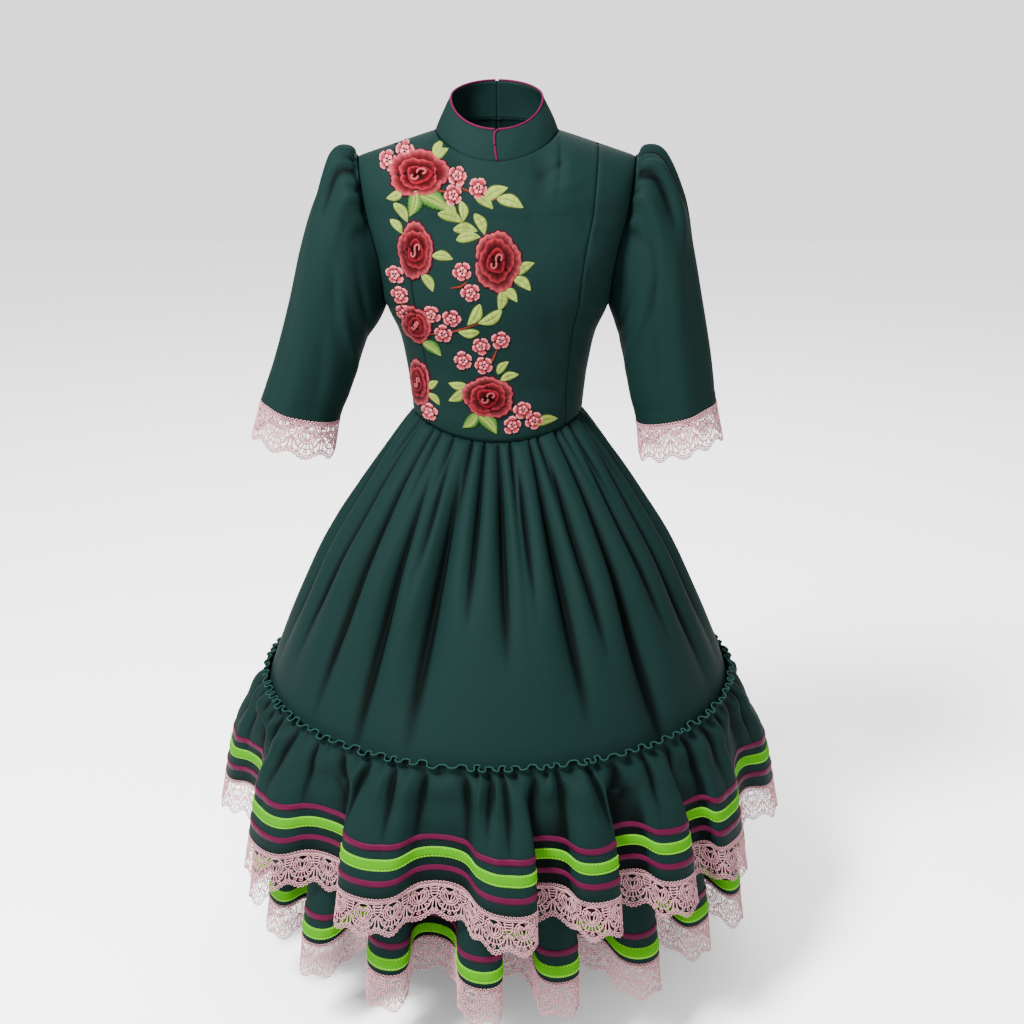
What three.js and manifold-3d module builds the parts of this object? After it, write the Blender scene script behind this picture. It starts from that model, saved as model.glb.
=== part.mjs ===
// A women's riding dress for escaramuza, standing open as it does when it is worn.
// A princess-cut bodice with a stand collar and elbow sleeves is sewn to a gathered skirt.
// The skirt carries two ribboned flounces with lace hems, one over the other.
// Millimetres, +Z up, the front faces -Y. The origin is the centre of the neck opening
// at the height of the neck points, where the wearer's neck and shoulders hold the dress.
import * as THREE from "three";
import { mergeVertices } from "three/addons/utils/BufferGeometryUtils.js";
import Module from "manifold-3d";

const wasm = await Module();
wasm.setup();

// Cloth and seams
const CLOTH = 1.6;
const RIBBON_THICK = 1.0;
const LACE_THICK = 1.2;
const SEAM_GAP = 0.3;

// Heights below the neck points
const WAIST_SIDE_Z = -412;
const WAIST_FRONT_DIP = 26;
const WAIST_BACK_DIP = 8;
const FLOUNCE_SEAM_Z = -838;
const SKIRT_END_Z = -880;
const FLOUNCE_HEM_Z = -1005;
const UNDER_HEM_Z = -1140;

// Counts round the dress
const COLUMNS_A_WAVE = 5;
const GATHER_DEPTH = 3.2;
const HEADER_HEIGHT = 13;
const HEADER_OUT = 2.2;
const HEADER_IN = -1.4;

const rad = (degrees) => (degrees * Math.PI) / 180;
const mix = (a, b, t) => a + (b - a) * t;
const clamp01 = (t) => Math.min(1, Math.max(0, t));
const smooth = (t) => {
  const c = clamp01(t);
  return c * c * (3 - 2 * c);
};

// Reads a value from a table of rows by its first column, with straight steps between rows.
function read(table, key, column, at) {
  const rising = table[0][key] < table[table.length - 1][key] ? table : [...table].reverse();
  if (at <= rising[0][key]) return rising[0][column];
  for (let i = 1; i < rising.length; i++) {
    const low = rising[i - 1];
    const high = rising[i];
    if (at <= high[key]) return mix(low[column], high[column], (at - low[key]) / (high[key] - low[key]));
  }
  return rising[rising.length - 1][column];
}

// Grids and walls. A grid is a list of columns, each a list of points from top to bottom.

// The outward direction at each grid point, lengthened at corners so that an offset wall
// keeps its thickness. The grid runs to the wearer's left seen from the front.
function outward(grid, closed) {
  const n = grid.length;
  const last = grid[0].length - 1;
  const at = (i, j) => (closed ? grid[(i + n) % n] : grid[Math.min(n - 1, Math.max(0, i))])[j];
  return grid.map((column, i) =>
    column.map((point, j) => {
      const up = at(i, Math.max(0, j - 1)).clone().sub(at(i, Math.min(last, j + 1)));
      const before = point.clone().sub(at(i - 1, j));
      const after = at(i + 1, j).clone().sub(point);
      if (before.lengthSq() < 1e-9) before.copy(after);
      if (after.lengthSq() < 1e-9) after.copy(before);
      const a = before.cross(up).normalize();
      const b = after.cross(up).normalize();
      const sum = a.clone().add(b).normalize();
      return sum.divideScalar(Math.max(0.62, sum.dot(a)));
    }),
  );
}

const shifted = (grid, ways, by) =>
  grid.map((column, i) => column.map((p, j) => p.clone().addScaledVector(ways[i][j], by)));

// Makes the offset level along one row, so that the wall's edge there is flat.
function level(ways, row) {
  for (const column of ways) {
    const way = column[row];
    const length = way.length();
    way.setZ(0).setLength(length);
  }
  return ways;
}

// Draws the first and last column of a grid in by a little over half a seam gap.
function drawInEnds(grid) {
  const draw = (end, next) =>
    end.forEach((p, j) => p.add(next[j].clone().sub(p).setLength(SEAM_GAP / 2 + 0.02)));
  draw(grid[0], grid[1]);
  draw(grid[grid.length - 1], grid[grid.length - 2]);
  return grid;
}

// Keeps columns first..last of a closed grid, ready for a seam at both ends.
function cutColumns(grid, first, last) {
  const n = grid.length;
  const part = [];
  for (let i = first; i <= last; i++) part.push(grid[((i % n) + n) % n].map((p) => p.clone()));
  return drawInEnds(part);
}

// A closed wall between an outer and an inner grid. hole(i, j) opens a window in a cell.
function wall(outer, inner, closed = false, hole = () => false) {
  const points = [];
  const faces = [];
  const add = (p) => points.push(p) - 1;
  const quad = (a, b, c, d) => faces.push([a, b, c], [a, c, d]);
  const ids = (grid) => grid.map((column) => column.map(add));
  const out = ids(outer);
  const inn = ids(inner);
  const n = outer.length;
  const rows = outer[0].length;
  const cells = closed ? n : n - 1;
  const window = (corners) => {
    const centre = corners.reduce((s, k) => s.add(points[k]), new THREE.Vector3()).divideScalar(4);
    return corners.map((k) => add(points[k].clone().lerp(centre, 0.42)));
  };
  for (let i = 0; i < cells; i++) {
    const k = (i + 1) % n;
    for (let j = 0; j + 1 < rows; j++) {
      const o = [out[i][j], out[i][j + 1], out[k][j + 1], out[k][j]];
      const q = [inn[i][j], inn[i][j + 1], inn[k][j + 1], inn[k][j]];
      if (!hole(i, j)) {
        quad(...o);
        quad(q[0], q[3], q[2], q[1]);
        continue;
      }
      const ow = window(o);
      const qw = window(q);
      for (let e = 0; e < 4; e++) {
        const f = (e + 1) % 4;
        quad(o[e], o[f], ow[f], ow[e]);
        quad(q[e], qw[e], qw[f], q[f]);
        quad(ow[e], ow[f], qw[f], qw[e]);
      }
    }
    quad(out[k][0], inn[k][0], inn[i][0], out[i][0]);
    quad(out[i][rows - 1], inn[i][rows - 1], inn[k][rows - 1], out[k][rows - 1]);
  }
  if (!closed) {
    for (let j = 0; j + 1 < rows; j++) {
      quad(out[0][j], inn[0][j], inn[0][j + 1], out[0][j + 1]);
      quad(out[n - 1][j], out[n - 1][j + 1], inn[n - 1][j + 1], inn[n - 1][j]);
    }
  }
  return solid(points, faces);
}

// A geometry from points and triangles, turned so that its faces point out.
function solid(points, faces) {
  const volume = faces.reduce((v, [a, b, c]) => v + points[a].dot(points[b].clone().cross(points[c])), 0);
  const geometry = new THREE.BufferGeometry();
  geometry.setAttribute("position", new THREE.Float32BufferAttribute(points.flatMap((p) => p.toArray()), 3));
  geometry.setIndex(faces.flatMap(([a, b, c]) => (volume < 0 ? [a, c, b] : [a, b, c])));
  return geometry;
}

// Materials
const plain = (color, roughness) =>
  new THREE.MeshStandardMaterial({ color, roughness, metalness: 0, flatShading: true });
const greenCloth = plain(0x1c3a34, 0.75);
const plumSatin = plain(0x7d2650, 0.4);
const limeRibbon = plain(0x86d60a, 0.5);
const pinkLace = plain(0xd9b3ba, 0.8);
const plumPiping = plain(0x6b2540, 0.5);
const roseThread = plain(0xb02a3c, 0.6);

const dress = new THREE.Group();
function sew(name, geometry, material) {
  const mesh = new THREE.Mesh(geometry, material);
  mesh.name = name;
  dress.add(mesh);
}

// The skirt and its flounces hang in waves. A wave table gives each crest's angle from the
// centre front, positive to the wearer's left, and how deep that wave is beside the others.
const FLOUNCE_WAVES = [
  { crest: -52, depth: 1 }, { crest: -25, depth: 1.05 }, { crest: 2.5, depth: 1.25 },
  { crest: 19, depth: 0.9 }, { crest: 36, depth: 1.05 }, { crest: 54, depth: 0.6 },
  { crest: 84, depth: 1.1 }, { crest: 101, depth: 0.9 }, { crest: 118, depth: 1.1 },
  { crest: 135, depth: 0.8 }, { crest: 152, depth: 1.05 }, { crest: 169, depth: 0.9 },
  { crest: 186, depth: 1.1 }, { crest: 203, depth: 0.8 }, { crest: 220, depth: 1.1 },
  { crest: 237, depth: 0.95 }, { crest: 254, depth: 0.8 }, { crest: 272, depth: 1.1 },
];
const UNDER_WAVES = [
  { crest: -77, depth: 0.9 }, { crest: -60, depth: 0.7 }, { crest: -42, depth: 1 },
  { crest: -25, depth: 1.1 }, { crest: -3.5, depth: 1.1 }, { crest: 12, depth: 1 },
  { crest: 31, depth: 1.1 }, { crest: 50, depth: 0.7 }, { crest: 68, depth: 1 },
  { crest: 88, depth: 0.9 }, { crest: 111, depth: 1.1 }, { crest: 139, depth: 0.9 },
  { crest: 167, depth: 1.1 }, { crest: 196, depth: 0.9 }, { crest: 226, depth: 1.1 },
  { crest: 255, depth: 1 },
];

// The columns of a ring, with the angle, the phase and the wave's depth at each.
function columnsOf(waves) {
  return waves.flatMap((wave, k) => {
    const next = waves[(k + 1) % waves.length];
    const turn = next.crest > wave.crest ? 0 : 360;
    return Array.from({ length: COLUMNS_A_WAVE }, (_, i) => {
      const t = i / COLUMNS_A_WAVE;
      const angle = rad(mix(wave.crest, next.crest + turn, t));
      return { angle, phase: 2 * Math.PI * t, depth: mix(wave.depth, next.depth, t) };
    });
  });
}

// The skirt's bell, from the waist seam to its lower end.
const BELL = [
  { z: -412, wide: 125, deep: 101 },
  { z: -440, wide: 148, deep: 124 },
  { z: -485, wide: 180, deep: 160 },
  { z: -543, wide: 217, deep: 203 },
  { z: -607, wide: 257, deep: 247 },
  { z: -682, wide: 295, deep: 288 },
  { z: -750, wide: 327, deep: 323 },
  { z: -838, wide: 362, deep: 360 },
  { z: -880, wide: 373, deep: 373 },
];
const waistZ = (angle) => {
  const forward = Math.cos(angle);
  return WAIST_SIDE_Z - (forward > 0 ? WAIST_FRONT_DIP : WAIST_BACK_DIP) * forward * forward;
};

// A point of the skirt at a column, down a share of its length from the waist.
const FOLD_DEPTH = 9;
function skirtPoint(column, index, share) {
  const { angle, phase, depth } = column;
  const z = mix(waistZ(angle), SKIRT_END_Z, share);
  const level = mix(WAIST_SIDE_Z, SKIRT_END_Z, share);
  const gather = (index % 2 ? 1 : -1) * GATHER_DEPTH * (1 - smooth(share / 0.32));
  const swell = smooth(share / 0.25) * (1 - smooth((share - 0.55) / 0.43));
  const fold = FOLD_DEPTH * depth * swell * Math.cos(phase);
  const out = gather + fold;
  return new THREE.Vector3(
    (read(BELL, "z", "wide", level) + out) * Math.sin(angle),
    -(read(BELL, "z", "deep", level) + out) * Math.cos(angle),
    z,
  );
}
const flounceColumns = columnsOf(FLOUNCE_WAVES);
const seamShare = (FLOUNCE_SEAM_Z - WAIST_SIDE_Z) / (SKIRT_END_Z - WAIST_SIDE_Z);
const SKIRT_SHARES = [0, 0.12, 0.45, seamShare, 1];
const SEAM_ROW = SKIRT_SHARES.indexOf(seamShare);
const skirtOuter = flounceColumns.map((column, i) =>
  SKIRT_SHARES.map((share) => skirtPoint(column, i, share)),
);
const skirtWays = level(level(outward(skirtOuter, true), 0), SKIRT_SHARES.length - 1);

// Columns at the two side seams, nearest to -90 and 90 degrees.
function nearest(columns, degrees) {
  const off = (i) => Math.abs(columns[i].angle - rad(degrees));
  return columns.reduce((best, column, i) => (off(i) < off(best) ? i : best), 0);
}

// Sews a ring of cloth as a front and a back half that meet at the side seams.
function sewHalves(name, columns, outer, inner, material, hole) {
  const left = nearest(columns, 90);
  const right = nearest(columns, 270);
  for (const [half, first, last] of [["back", left, right], ["front", right, left + columns.length]]) {
    const window = hole && ((i, j) => hole(i + first, j));
    const cut = (grid) => cutColumns(grid, first, last);
    sew(`${name}_${half}`, wall(cut(outer), cut(inner), false, window), material);
  }
}
sewHalves("skirt", flounceColumns, skirtOuter, shifted(skirtOuter, skirtWays, -CLOTH), greenCloth);

// A flounce's free cloth: waves form between its seam and the turn row, and from there it
// flares straight to its hem, so that the ribbons lie on flat facets.
function flounceRing(columns, turn, hem) {
  return columns.map(({ angle, phase, depth }) => {
    const out = turn.radius + turn.wave * depth * Math.cos(phase);
    const a = angle - (0.45 * turn.wave * depth * Math.sin(phase)) / turn.radius;
    const flare = hem.radius / turn.radius;
    const point = new THREE.Vector3(out * Math.sin(a), -out * Math.cos(a), turn.z);
    return [point, new THREE.Vector3(point.x * flare, point.y * flare, hem.z)];
  });
}

// The upper flounce is gathered on to the skirt a little below its own top edge, which
// stands up as a ruffled heading.
const upperFree = flounceRing(
  flounceColumns,
  { z: -912, radius: 401, wave: 16 },
  { z: FLOUNCE_HEM_Z, radius: 419 },
);
const seamLift = CLOTH + SEAM_GAP;
const upperOuter = flounceColumns.map((column, i) => {
  const stand = i % 2 ? HEADER_OUT : HEADER_IN;
  const seam = skirtOuter[i][SEAM_ROW].clone().addScaledVector(skirtWays[i][SEAM_ROW], seamLift);
  const out = new THREE.Vector3(Math.sin(column.angle), -Math.cos(column.angle), 0);
  const top = seam.clone().addScaledVector(out, stand);
  top.z += HEADER_HEIGHT;
  return [top, seam, ...upperFree[i]];
});
const upperWays = outward(upperOuter, true);
sewHalves("upper_flounce", flounceColumns, upperOuter, shifted(upperOuter, upperWays, -CLOTH), greenCloth);

// The lower flounce is sewn edge to edge to the skirt's lower end.
const underColumns = columnsOf(UNDER_WAVES);
const underFree = flounceRing(
  underColumns,
  { z: -1040, radius: 366, wave: 24 },
  { z: UNDER_HEM_Z, radius: 376 },
);
const SKIRT_END_RADIUS = BELL[BELL.length - 1].wide;
const underTop = (angle) =>
  new THREE.Vector3(Math.sin(angle), -Math.cos(angle), 0)
    .multiplyScalar(SKIRT_END_RADIUS)
    .setZ(SKIRT_END_Z - SEAM_GAP);
const underOuter = underColumns.map(({ angle }, i) => [underTop(angle), ...underFree[i]]);
const underWays = level(outward(underOuter, true), 0);
sewHalves("lower_flounce", underColumns, underOuter, shifted(underOuter, underWays, -CLOTH), greenCloth);

// Ribbons lie flat on a flounce's last panel. They are given by how far their edges stand
// above the hem, and are made from the panel's own points, moved out.
function ribbon(name, outer, ways, topUp, bottomUp, material) {
  const low = outer[0].length - 1;
  const drop = outer[0][low - 1].z - outer[0][low].z;
  const line = (grid, up) => grid.map((column) => column[low].clone().lerp(column[low - 1], up / drop));
  const face = line(outer, topUp).map((p, i) => [p, line(outer, bottomUp)[i]]);
  const way = line(ways, topUp).map((p, i) => [p, line(ways, bottomUp)[i]]);
  sew(name, wall(shifted(face, way, SEAM_GAP + RIBBON_THICK), shifted(face, way, SEAM_GAP), true), material);
}
const NARROW_RIBBON = 9;
const WIDE_RIBBON = 16;
const UPPER_RIBBONS = [
  { name: "upper_ribbon_plum_high", foot: 68, wide: NARROW_RIBBON, material: plumSatin },
  { name: "upper_ribbon_lime", foot: 41, wide: WIDE_RIBBON, material: limeRibbon },
  { name: "upper_ribbon_plum_low", foot: 19, wide: NARROW_RIBBON, material: plumSatin },
];
const LOWER_RIBBONS = [
  { name: "lower_ribbon_plum", foot: 38, wide: NARROW_RIBBON, material: plumSatin },
  { name: "lower_ribbon_lime", foot: 10, wide: WIDE_RIBBON, material: limeRibbon },
];
for (const r of UPPER_RIBBONS) ribbon(r.name, upperOuter, upperWays, r.foot + r.wide, r.foot, r.material);
for (const r of LOWER_RIBBONS) ribbon(r.name, underOuter, underWays, r.foot + r.wide, r.foot, r.material);

// Lace edging hangs from a hem and carries on the way of the cloth. Each repeat of the
// pattern is two columns wide, with a scallop below and a window beside it.
const LACE_DROP = 58;
const SCALLOP = 9;
function hemLace(name, columns, outer, ways) {
  const low = outer[0].length - 1;
  const face = outer.map((column, i) => {
    const hem = column[low].clone();
    const down = hem.clone().sub(column[low - 1]).normalize();
    const length = LACE_DROP - (i % 2 ? 0 : SCALLOP);
    return [hem.clone().addScaledVector(down, SEAM_GAP), hem.addScaledVector(down, length)];
  });
  const way = ways.map((column) => [column[low], column[low]]);
  const inner = shifted(face, way, -LACE_THICK);
  sewHalves(name, columns, face, inner, pinkLace, (i) => i % 2 === 0);
}
hemLace("upper_lace", flounceColumns, upperOuter, upperWays);
hemLace("lower_lace", underColumns, underOuter, underWays);

// The bodice. A row of the table is a level: half the width to the side seam or armhole,
// the depth at the centre front and back, and where the princess seam lies.
const BODICE = [
  { z: -37, half: 199, front: 88, back: 84, princess: 145 },
  { z: -77, half: 193, front: 100, back: 96, princess: 138 },
  { z: -120, half: 185, front: 112, back: 103, princess: 131 },
  { z: -173, half: 172, front: 126, back: 106, princess: 124 },
  { z: -215, half: 166, front: 130, back: 104, princess: 119 },
  { z: -251, half: 163, front: 126, back: 100, princess: 114 },
  { z: -290, half: 146, front: 117, back: 94, princess: 109 },
  { z: -343, half: 135, front: 108, back: 88, princess: 103 },
  { z: -390, half: 129, front: 103, back: 86, princess: 102 },
  { z: -441, half: 125, front: 101, back: 86, princess: 102 },
];
const ARMHOLE = { middle: -144, tall: 107, deep: 46 };
const NECK = { wide: 88, front: 76, back: 66, frontZ: -36, backZ: 10 };
const CHEST_Z = -110;
const SHOULDER_TIP_Z = -37;

const armholeDepth = (z) =>
  ARMHOLE.deep * Math.sqrt(Math.max(0, 1 - ((z - ARMHOLE.middle) / ARMHOLE.tall) ** 2));

// The depth of the torso at a level, side = -1 in front and 1 behind.
function torsoY(x, z, side) {
  const half = read(BODICE, "z", "half", z);
  const middle = read(BODICE, "z", side < 0 ? "front" : "back", z);
  const edge = z > ARMHOLE.middle - ARMHOLE.tall ? armholeDepth(z) : 0;
  const share = Math.min(1, Math.abs(x) / half);
  return side * (edge + (middle - edge) * Math.sqrt(1 - share ** 2.2));
}

// The top edge of a bodice panel: the neckline near the centre, the shoulder seam beyond it.
function topEdge(x, side) {
  const a = Math.abs(x);
  if (a >= NECK.wide) {
    const t = (a - NECK.wide) / (read(BODICE, "z", "half", SHOULDER_TIP_Z) - NECK.wide);
    return { y: 0, z: mix(0, SHOULDER_TIP_Z, t) };
  }
  const round = Math.sqrt(1 - (a / NECK.wide) ** 2);
  const z = side < 0 ? NECK.frontZ : NECK.backZ;
  return { y: side * round * (side < 0 ? NECK.front : NECK.back), z: z * round ** 1.6 };
}

// A bodice point: across is the share of the way from the centre line to the side or armhole
// edge, up is 0 at the waist, 1 at the chest line and 2 at the neckline and shoulder.
const bodiceHalf = (z) => read(BODICE, "z", "half", z);
const WAIST_GAP = 0.9;
function bodicePoint(across, up, side) {
  if (up <= 1) {
    const turn = Math.asin(Math.min(1, Math.abs(across)));
    const floor = waistZ(side < 0 ? turn : Math.PI - turn) + WAIST_GAP;
    const z = mix(floor, CHEST_Z, up);
    const x = across * bodiceHalf(z);
    return new THREE.Vector3(x, torsoY(x, z, side), z);
  }
  const t = up - 1;
  const tipHalf = bodiceHalf(SHOULDER_TIP_Z);
  const x = across * mix(bodiceHalf(CHEST_Z), tipHalf, t);
  const top = topEdge(across * tipHalf, side);
  const z = mix(CHEST_Z, top.z, t);
  const chest = torsoY(across * bodiceHalf(CHEST_Z), CHEST_Z, side);
  const neckShare = smooth((NECK.wide + 20 - Math.abs(across) * tipHalf) / 60);
  const roll = mix(1 - Math.sqrt(Math.max(0, 1 - t * t)), t ** 1.4, neckShare);
  return new THREE.Vector3(x, mix(chest, top.y, roll), z);
}

// A panel's columns are places in millimetres along the shoulder. In front they close in
// below the chest, so that the princess seam narrows towards the waist.
const TIP = bodiceHalf(SHOULDER_TIP_Z);
const PANEL_LEVELS = [2, 1.72, 1.36, 1, 0.76, 0.53, 0.26, 0];
const UNDERARM_UP = 0.53;
function acrossAt(place, up, side) {
  const z = up > 1 ? CHEST_Z : mix(WAIST_SIDE_Z, CHEST_Z, up);
  const seam = read(BODICE, "z", "princess", z) / bodiceHalf(z);
  const seamAtTip = PRINCESS_AT_SHOULDER / TIP;
  const share = Math.abs(place) / TIP;
  if (up > 1) return Math.sign(place) * share;
  const beyond = (share - seamAtTip) / (1 - seamAtTip);
  const bent = share < seamAtTip ? (share / seamAtTip) * seam : mix(seam, 1, beyond);
  const blend = smooth((1 - up) / 0.3);
  return Math.sign(place) * mix(share, side < 0 ? bent : share, blend);
}
const PRINCESS_AT_SHOULDER = 145;
const NECK_PLACES = [33.7, 62.2, 81.3, 88];
const INNER_PLACES = [...NECK_PLACES, 116, PRINCESS_AT_SHOULDER];
const SIDE_PLACES = [PRINCESS_AT_SHOULDER, 170, 186, 195, 199];
const BACK_PLACES = [0, ...INNER_PLACES, 172, 191, 199];

// The outward direction of the bodice at a place and level, from two short steps on it. It
// is level at the shoulder and straight to the side at the side seam, where panels meet.
function bodiceNormal(place, up, side) {
  const step = 0.5;
  const across = Math.sign(place) * Math.min(Math.abs(place), TIP - 3);
  const high = Math.min(1.985, Math.max(up, 0.02));
  const at = (p, u) => bodicePoint(acrossAt(p, u, side), u, side);
  const sideways = at(across + step, high).sub(at(across - step, high));
  const upward = at(across, high).sub(at(across, high - 0.02));
  const normal = sideways.cross(upward).normalize();
  if (normal.y * side < 0) normal.negate();
  const atShoulder = up === 2 && Math.abs(place) >= NECK.wide - 1;
  const atSideSeam = Math.abs(place) === TIP && up <= UNDERARM_UP;
  if (atShoulder || atSideSeam) normal.setY(0).normalize();
  return normal;
}

// Sews a panel. For what is laid on the front it keeps the outer faces, and a block of
// the cloth's space and the gap in front of it.
const frontFaces = [];
const frontSpace = [];
function sewPanel(name, places, side) {
  const outer = places.map((place) =>
    PANEL_LEVELS.map((up) => bodicePoint(acrossAt(place, up, side), up, side)),
  );
  const ways = places.map((place) => PANEL_LEVELS.map((up) => bodiceNormal(place, up, side)));
  const inner = shifted(outer, ways, -CLOTH);
  inner.forEach((column, i) => column[column.length - 1].setZ(outer[i][column.length - 1].z));
  if (side < 0) frontSpace.push(wall(shifted(outer, ways, SEAM_GAP + 0.1), shifted(outer, ways, -3 * CLOTH)));
  for (const grid of [outer, inner]) {
    for (const column of grid) column[0].add(new THREE.Vector3(0, (side * SEAM_GAP) / 2, 0));
    drawInEnds(grid);
  }
  sew(name, wall(outer, inner), greenCloth);
  if (side > 0) return;
  for (let i = 0; i + 1 < outer.length; i++)
    for (let j = 0; j + 1 < PANEL_LEVELS.length; j++) {
      frontFaces.push([outer[i][j], outer[i][j + 1], outer[i + 1][j + 1]]);
      frontFaces.push([outer[i][j], outer[i + 1][j + 1], outer[i + 1][j]]);
    }
}

const mirrored = (places) => places.map((p) => -p).reverse();
sewPanel("bodice_front_centre", [...mirrored(INNER_PLACES), 0, ...INNER_PLACES], -1);
sewPanel("bodice_front_side_left", SIDE_PLACES, -1);
sewPanel("bodice_front_side_right", mirrored(SIDE_PLACES), -1);
sewPanel("bodice_back_left", BACK_PLACES, 1);
sewPanel("bodice_back_right", mirrored(BACK_PLACES), 1);

// The stand collar is cut as two halves that meet at the centre front and centre back.
// Its foot follows the neckline and its top edge leans in and drops towards the front.
const COLLAR_TOP = { wide: 66, front: 57, back: 60, sideZ: 43, frontZ: 3, backZ: 62 };
const COLLAR_LIFT = 0.5;
function collarPoint(turn, rise) {
  const forward = Math.cos(turn);
  const side = forward > 0 ? -1 : 1;
  const foot = topEdge(NECK.wide * Math.abs(Math.sin(turn)), side);
  const footY = -forward * (side < 0 ? NECK.front : NECK.back);
  const topZ = mix(COLLAR_TOP.sideZ, side < 0 ? COLLAR_TOP.frontZ : COLLAR_TOP.backZ, Math.abs(forward));
  const topY = -forward * (side < 0 ? COLLAR_TOP.front : COLLAR_TOP.back);
  return new THREE.Vector3(
    mix(NECK.wide, COLLAR_TOP.wide, rise) * Math.sin(turn),
    mix(footY, topY, rise),
    mix(foot.z + COLLAR_LIFT, topZ, rise),
  );
}
const NECK_TURNS = [0, 22.5, 45, 67.5, 90, 112.5, 135, 157.5, 180].map(rad);
const collarWays = (turn) => new THREE.Vector3(Math.sin(turn), -Math.cos(turn), 0);
const COLLAR_RISES = [1, 0.5, 0];
function sewCollar(name, turns) {
  const outer = turns.map((turn) => COLLAR_RISES.map((rise) => collarPoint(turn, rise)));
  const ways = turns.map((turn) => COLLAR_RISES.map(() => collarWays(turn)));
  const inner = shifted(outer, ways, -CLOTH);
  sew(name, wall(drawInEnds(outer), drawInEnds(inner)), greenCloth);
}
sewCollar("collar_left", NECK_TURNS);
sewCollar("collar_right", NECK_TURNS.map((turn) => turn + Math.PI));

// Corded piping edges the collar's top, and on the left half it turns down the centre front.
const PIPING_RADIUS = 1.5;
const PIPING_GAP = 0.8;
const PIPING_SIDES = 5;
function pipe(name, points) {
  const path = new THREE.CatmullRomCurve3(points);
  const round = new THREE.Shape();
  for (let i = 0; i < PIPING_SIDES; i++) {
    const a = (2 * Math.PI * i) / PIPING_SIDES;
    const move = i ? "lineTo" : "moveTo";
    round[move](PIPING_RADIUS * Math.cos(a), PIPING_RADIUS * Math.sin(a));
  }
  round.closePath();
  const steps = points.length + 4;
  sew(name, new THREE.ExtrudeGeometry(round, { steps, extrudePath: path, bevelEnabled: false }), plumPiping);
}
const rimPoint = (turn) =>
  collarPoint(turn, 1)
    .addScaledVector(collarWays(turn), -CLOTH / 2)
    .add(new THREE.Vector3(0, 0, PIPING_RADIUS + PIPING_GAP));
const leftTurns = NECK_TURNS.slice(1, -1);
const foldSlope = collarPoint(0, 1).sub(collarPoint(0, 0));
const foldWay = new THREE.Vector3(0, -foldSlope.z, foldSlope.y).normalize();
const FOLD = [
  { rise: 0.06, aside: 0 },
  { rise: 0.4, aside: -2 },
  { rise: 0.72, aside: -3.5 },
  { rise: 0.93, aside: -2.5 },
];
const foldRun = FOLD.map(({ rise, aside }) =>
  collarPoint(0, rise)
    .addScaledVector(foldWay, PIPING_RADIUS + PIPING_GAP)
    .add(new THREE.Vector3(aside, 0, 0)),
);
const foldTop = collarPoint(0, 1)
  .addScaledVector(foldWay, 1.2)
  .add(new THREE.Vector3(0.5, 0, PIPING_RADIUS + 1));
pipe("collar_piping_left", [...foldRun, foldTop, ...[rad(10), ...leftTurns, rad(178)].map(rimPoint)]);
pipe("collar_piping_right", [rad(4), ...leftTurns, rad(174)].map((turn) => rimPoint(-turn)));

// The sleeves are gathered into the armholes and hang clear of the skirt. A row is a
// section across the arm, given by its outer and inner ends and half its depth.
const RIGHT_SLEEVE = [
  { outX: 229, outZ: -34, inX: 164.5, inZ: -256, deep: 58, forward: 0 },
  { outX: 262, outZ: -92, inX: 174, inZ: -276, deep: 70, forward: 3 },
  { outX: 285, outZ: -161, inX: 192, inZ: -303, deep: 72, forward: 6 },
  { outX: 307, outZ: -248, inX: 207, inZ: -343, deep: 68, forward: 10 },
  { outX: 333, outZ: -335, inX: 223, inZ: -386, deep: 64, forward: 14 },
  { outX: 355, outZ: -395, inX: 238, inZ: -426, deep: 62, forward: 16 },
];
const LEFT_SLEEVE = [
  { outX: 231, outZ: -37, inX: 164.5, inZ: -256, deep: 58, forward: 0 },
  { outX: 270, outZ: -94, inX: 172, inZ: -276, deep: 70, forward: 3 },
  { outX: 286, outZ: -165, inX: 180, inZ: -303, deep: 72, forward: 6 },
  { outX: 302, outZ: -245, inX: 189, inZ: -343, deep: 68, forward: 10 },
  { outX: 317, outZ: -325, inX: 199, inZ: -389, deep: 64, forward: 14 },
  { outX: 328, outZ: -397, inX: 209, inZ: -430, deep: 62, forward: 16 },
];
const SLEEVE_COLUMNS = 18;
const CAP_GATHER = 3;
const GATHER_SHARES = [1, 0.5];
const armholePoint = (turn) => {
  const z = ARMHOLE.middle + ARMHOLE.tall * Math.cos(turn);
  const above = (z - CHEST_Z) / (SHOULDER_TIP_Z - CHEST_Z);
  const below = (z - WAIST_SIDE_Z) / (CHEST_Z - WAIST_SIDE_Z);
  const up = z > CHEST_Z ? 1 + above : below;
  const p = bodicePoint(1, Math.min(2, up), Math.sin(turn) >= 0 ? -1 : 1);
  p.x += SEAM_GAP + 0.3;
  return p;
};
function sleeveRing(row, turn, spread = 0) {
  const { outX, outZ, inX, inZ, deep, forward } = row;
  const c = Math.cos(turn);
  return new THREE.Vector3(
    (outX + inX) / 2 + ((outX - inX) / 2 + spread) * c,
    -(deep + spread) * Math.sin(turn) - forward,
    (outZ + inZ) / 2 + ((outZ - inZ) / 2) * c,
  );
}
const onSide = (grid, side) => grid.map((column) => column.map((p) => p.clone().setX(side * p.x)));
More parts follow.
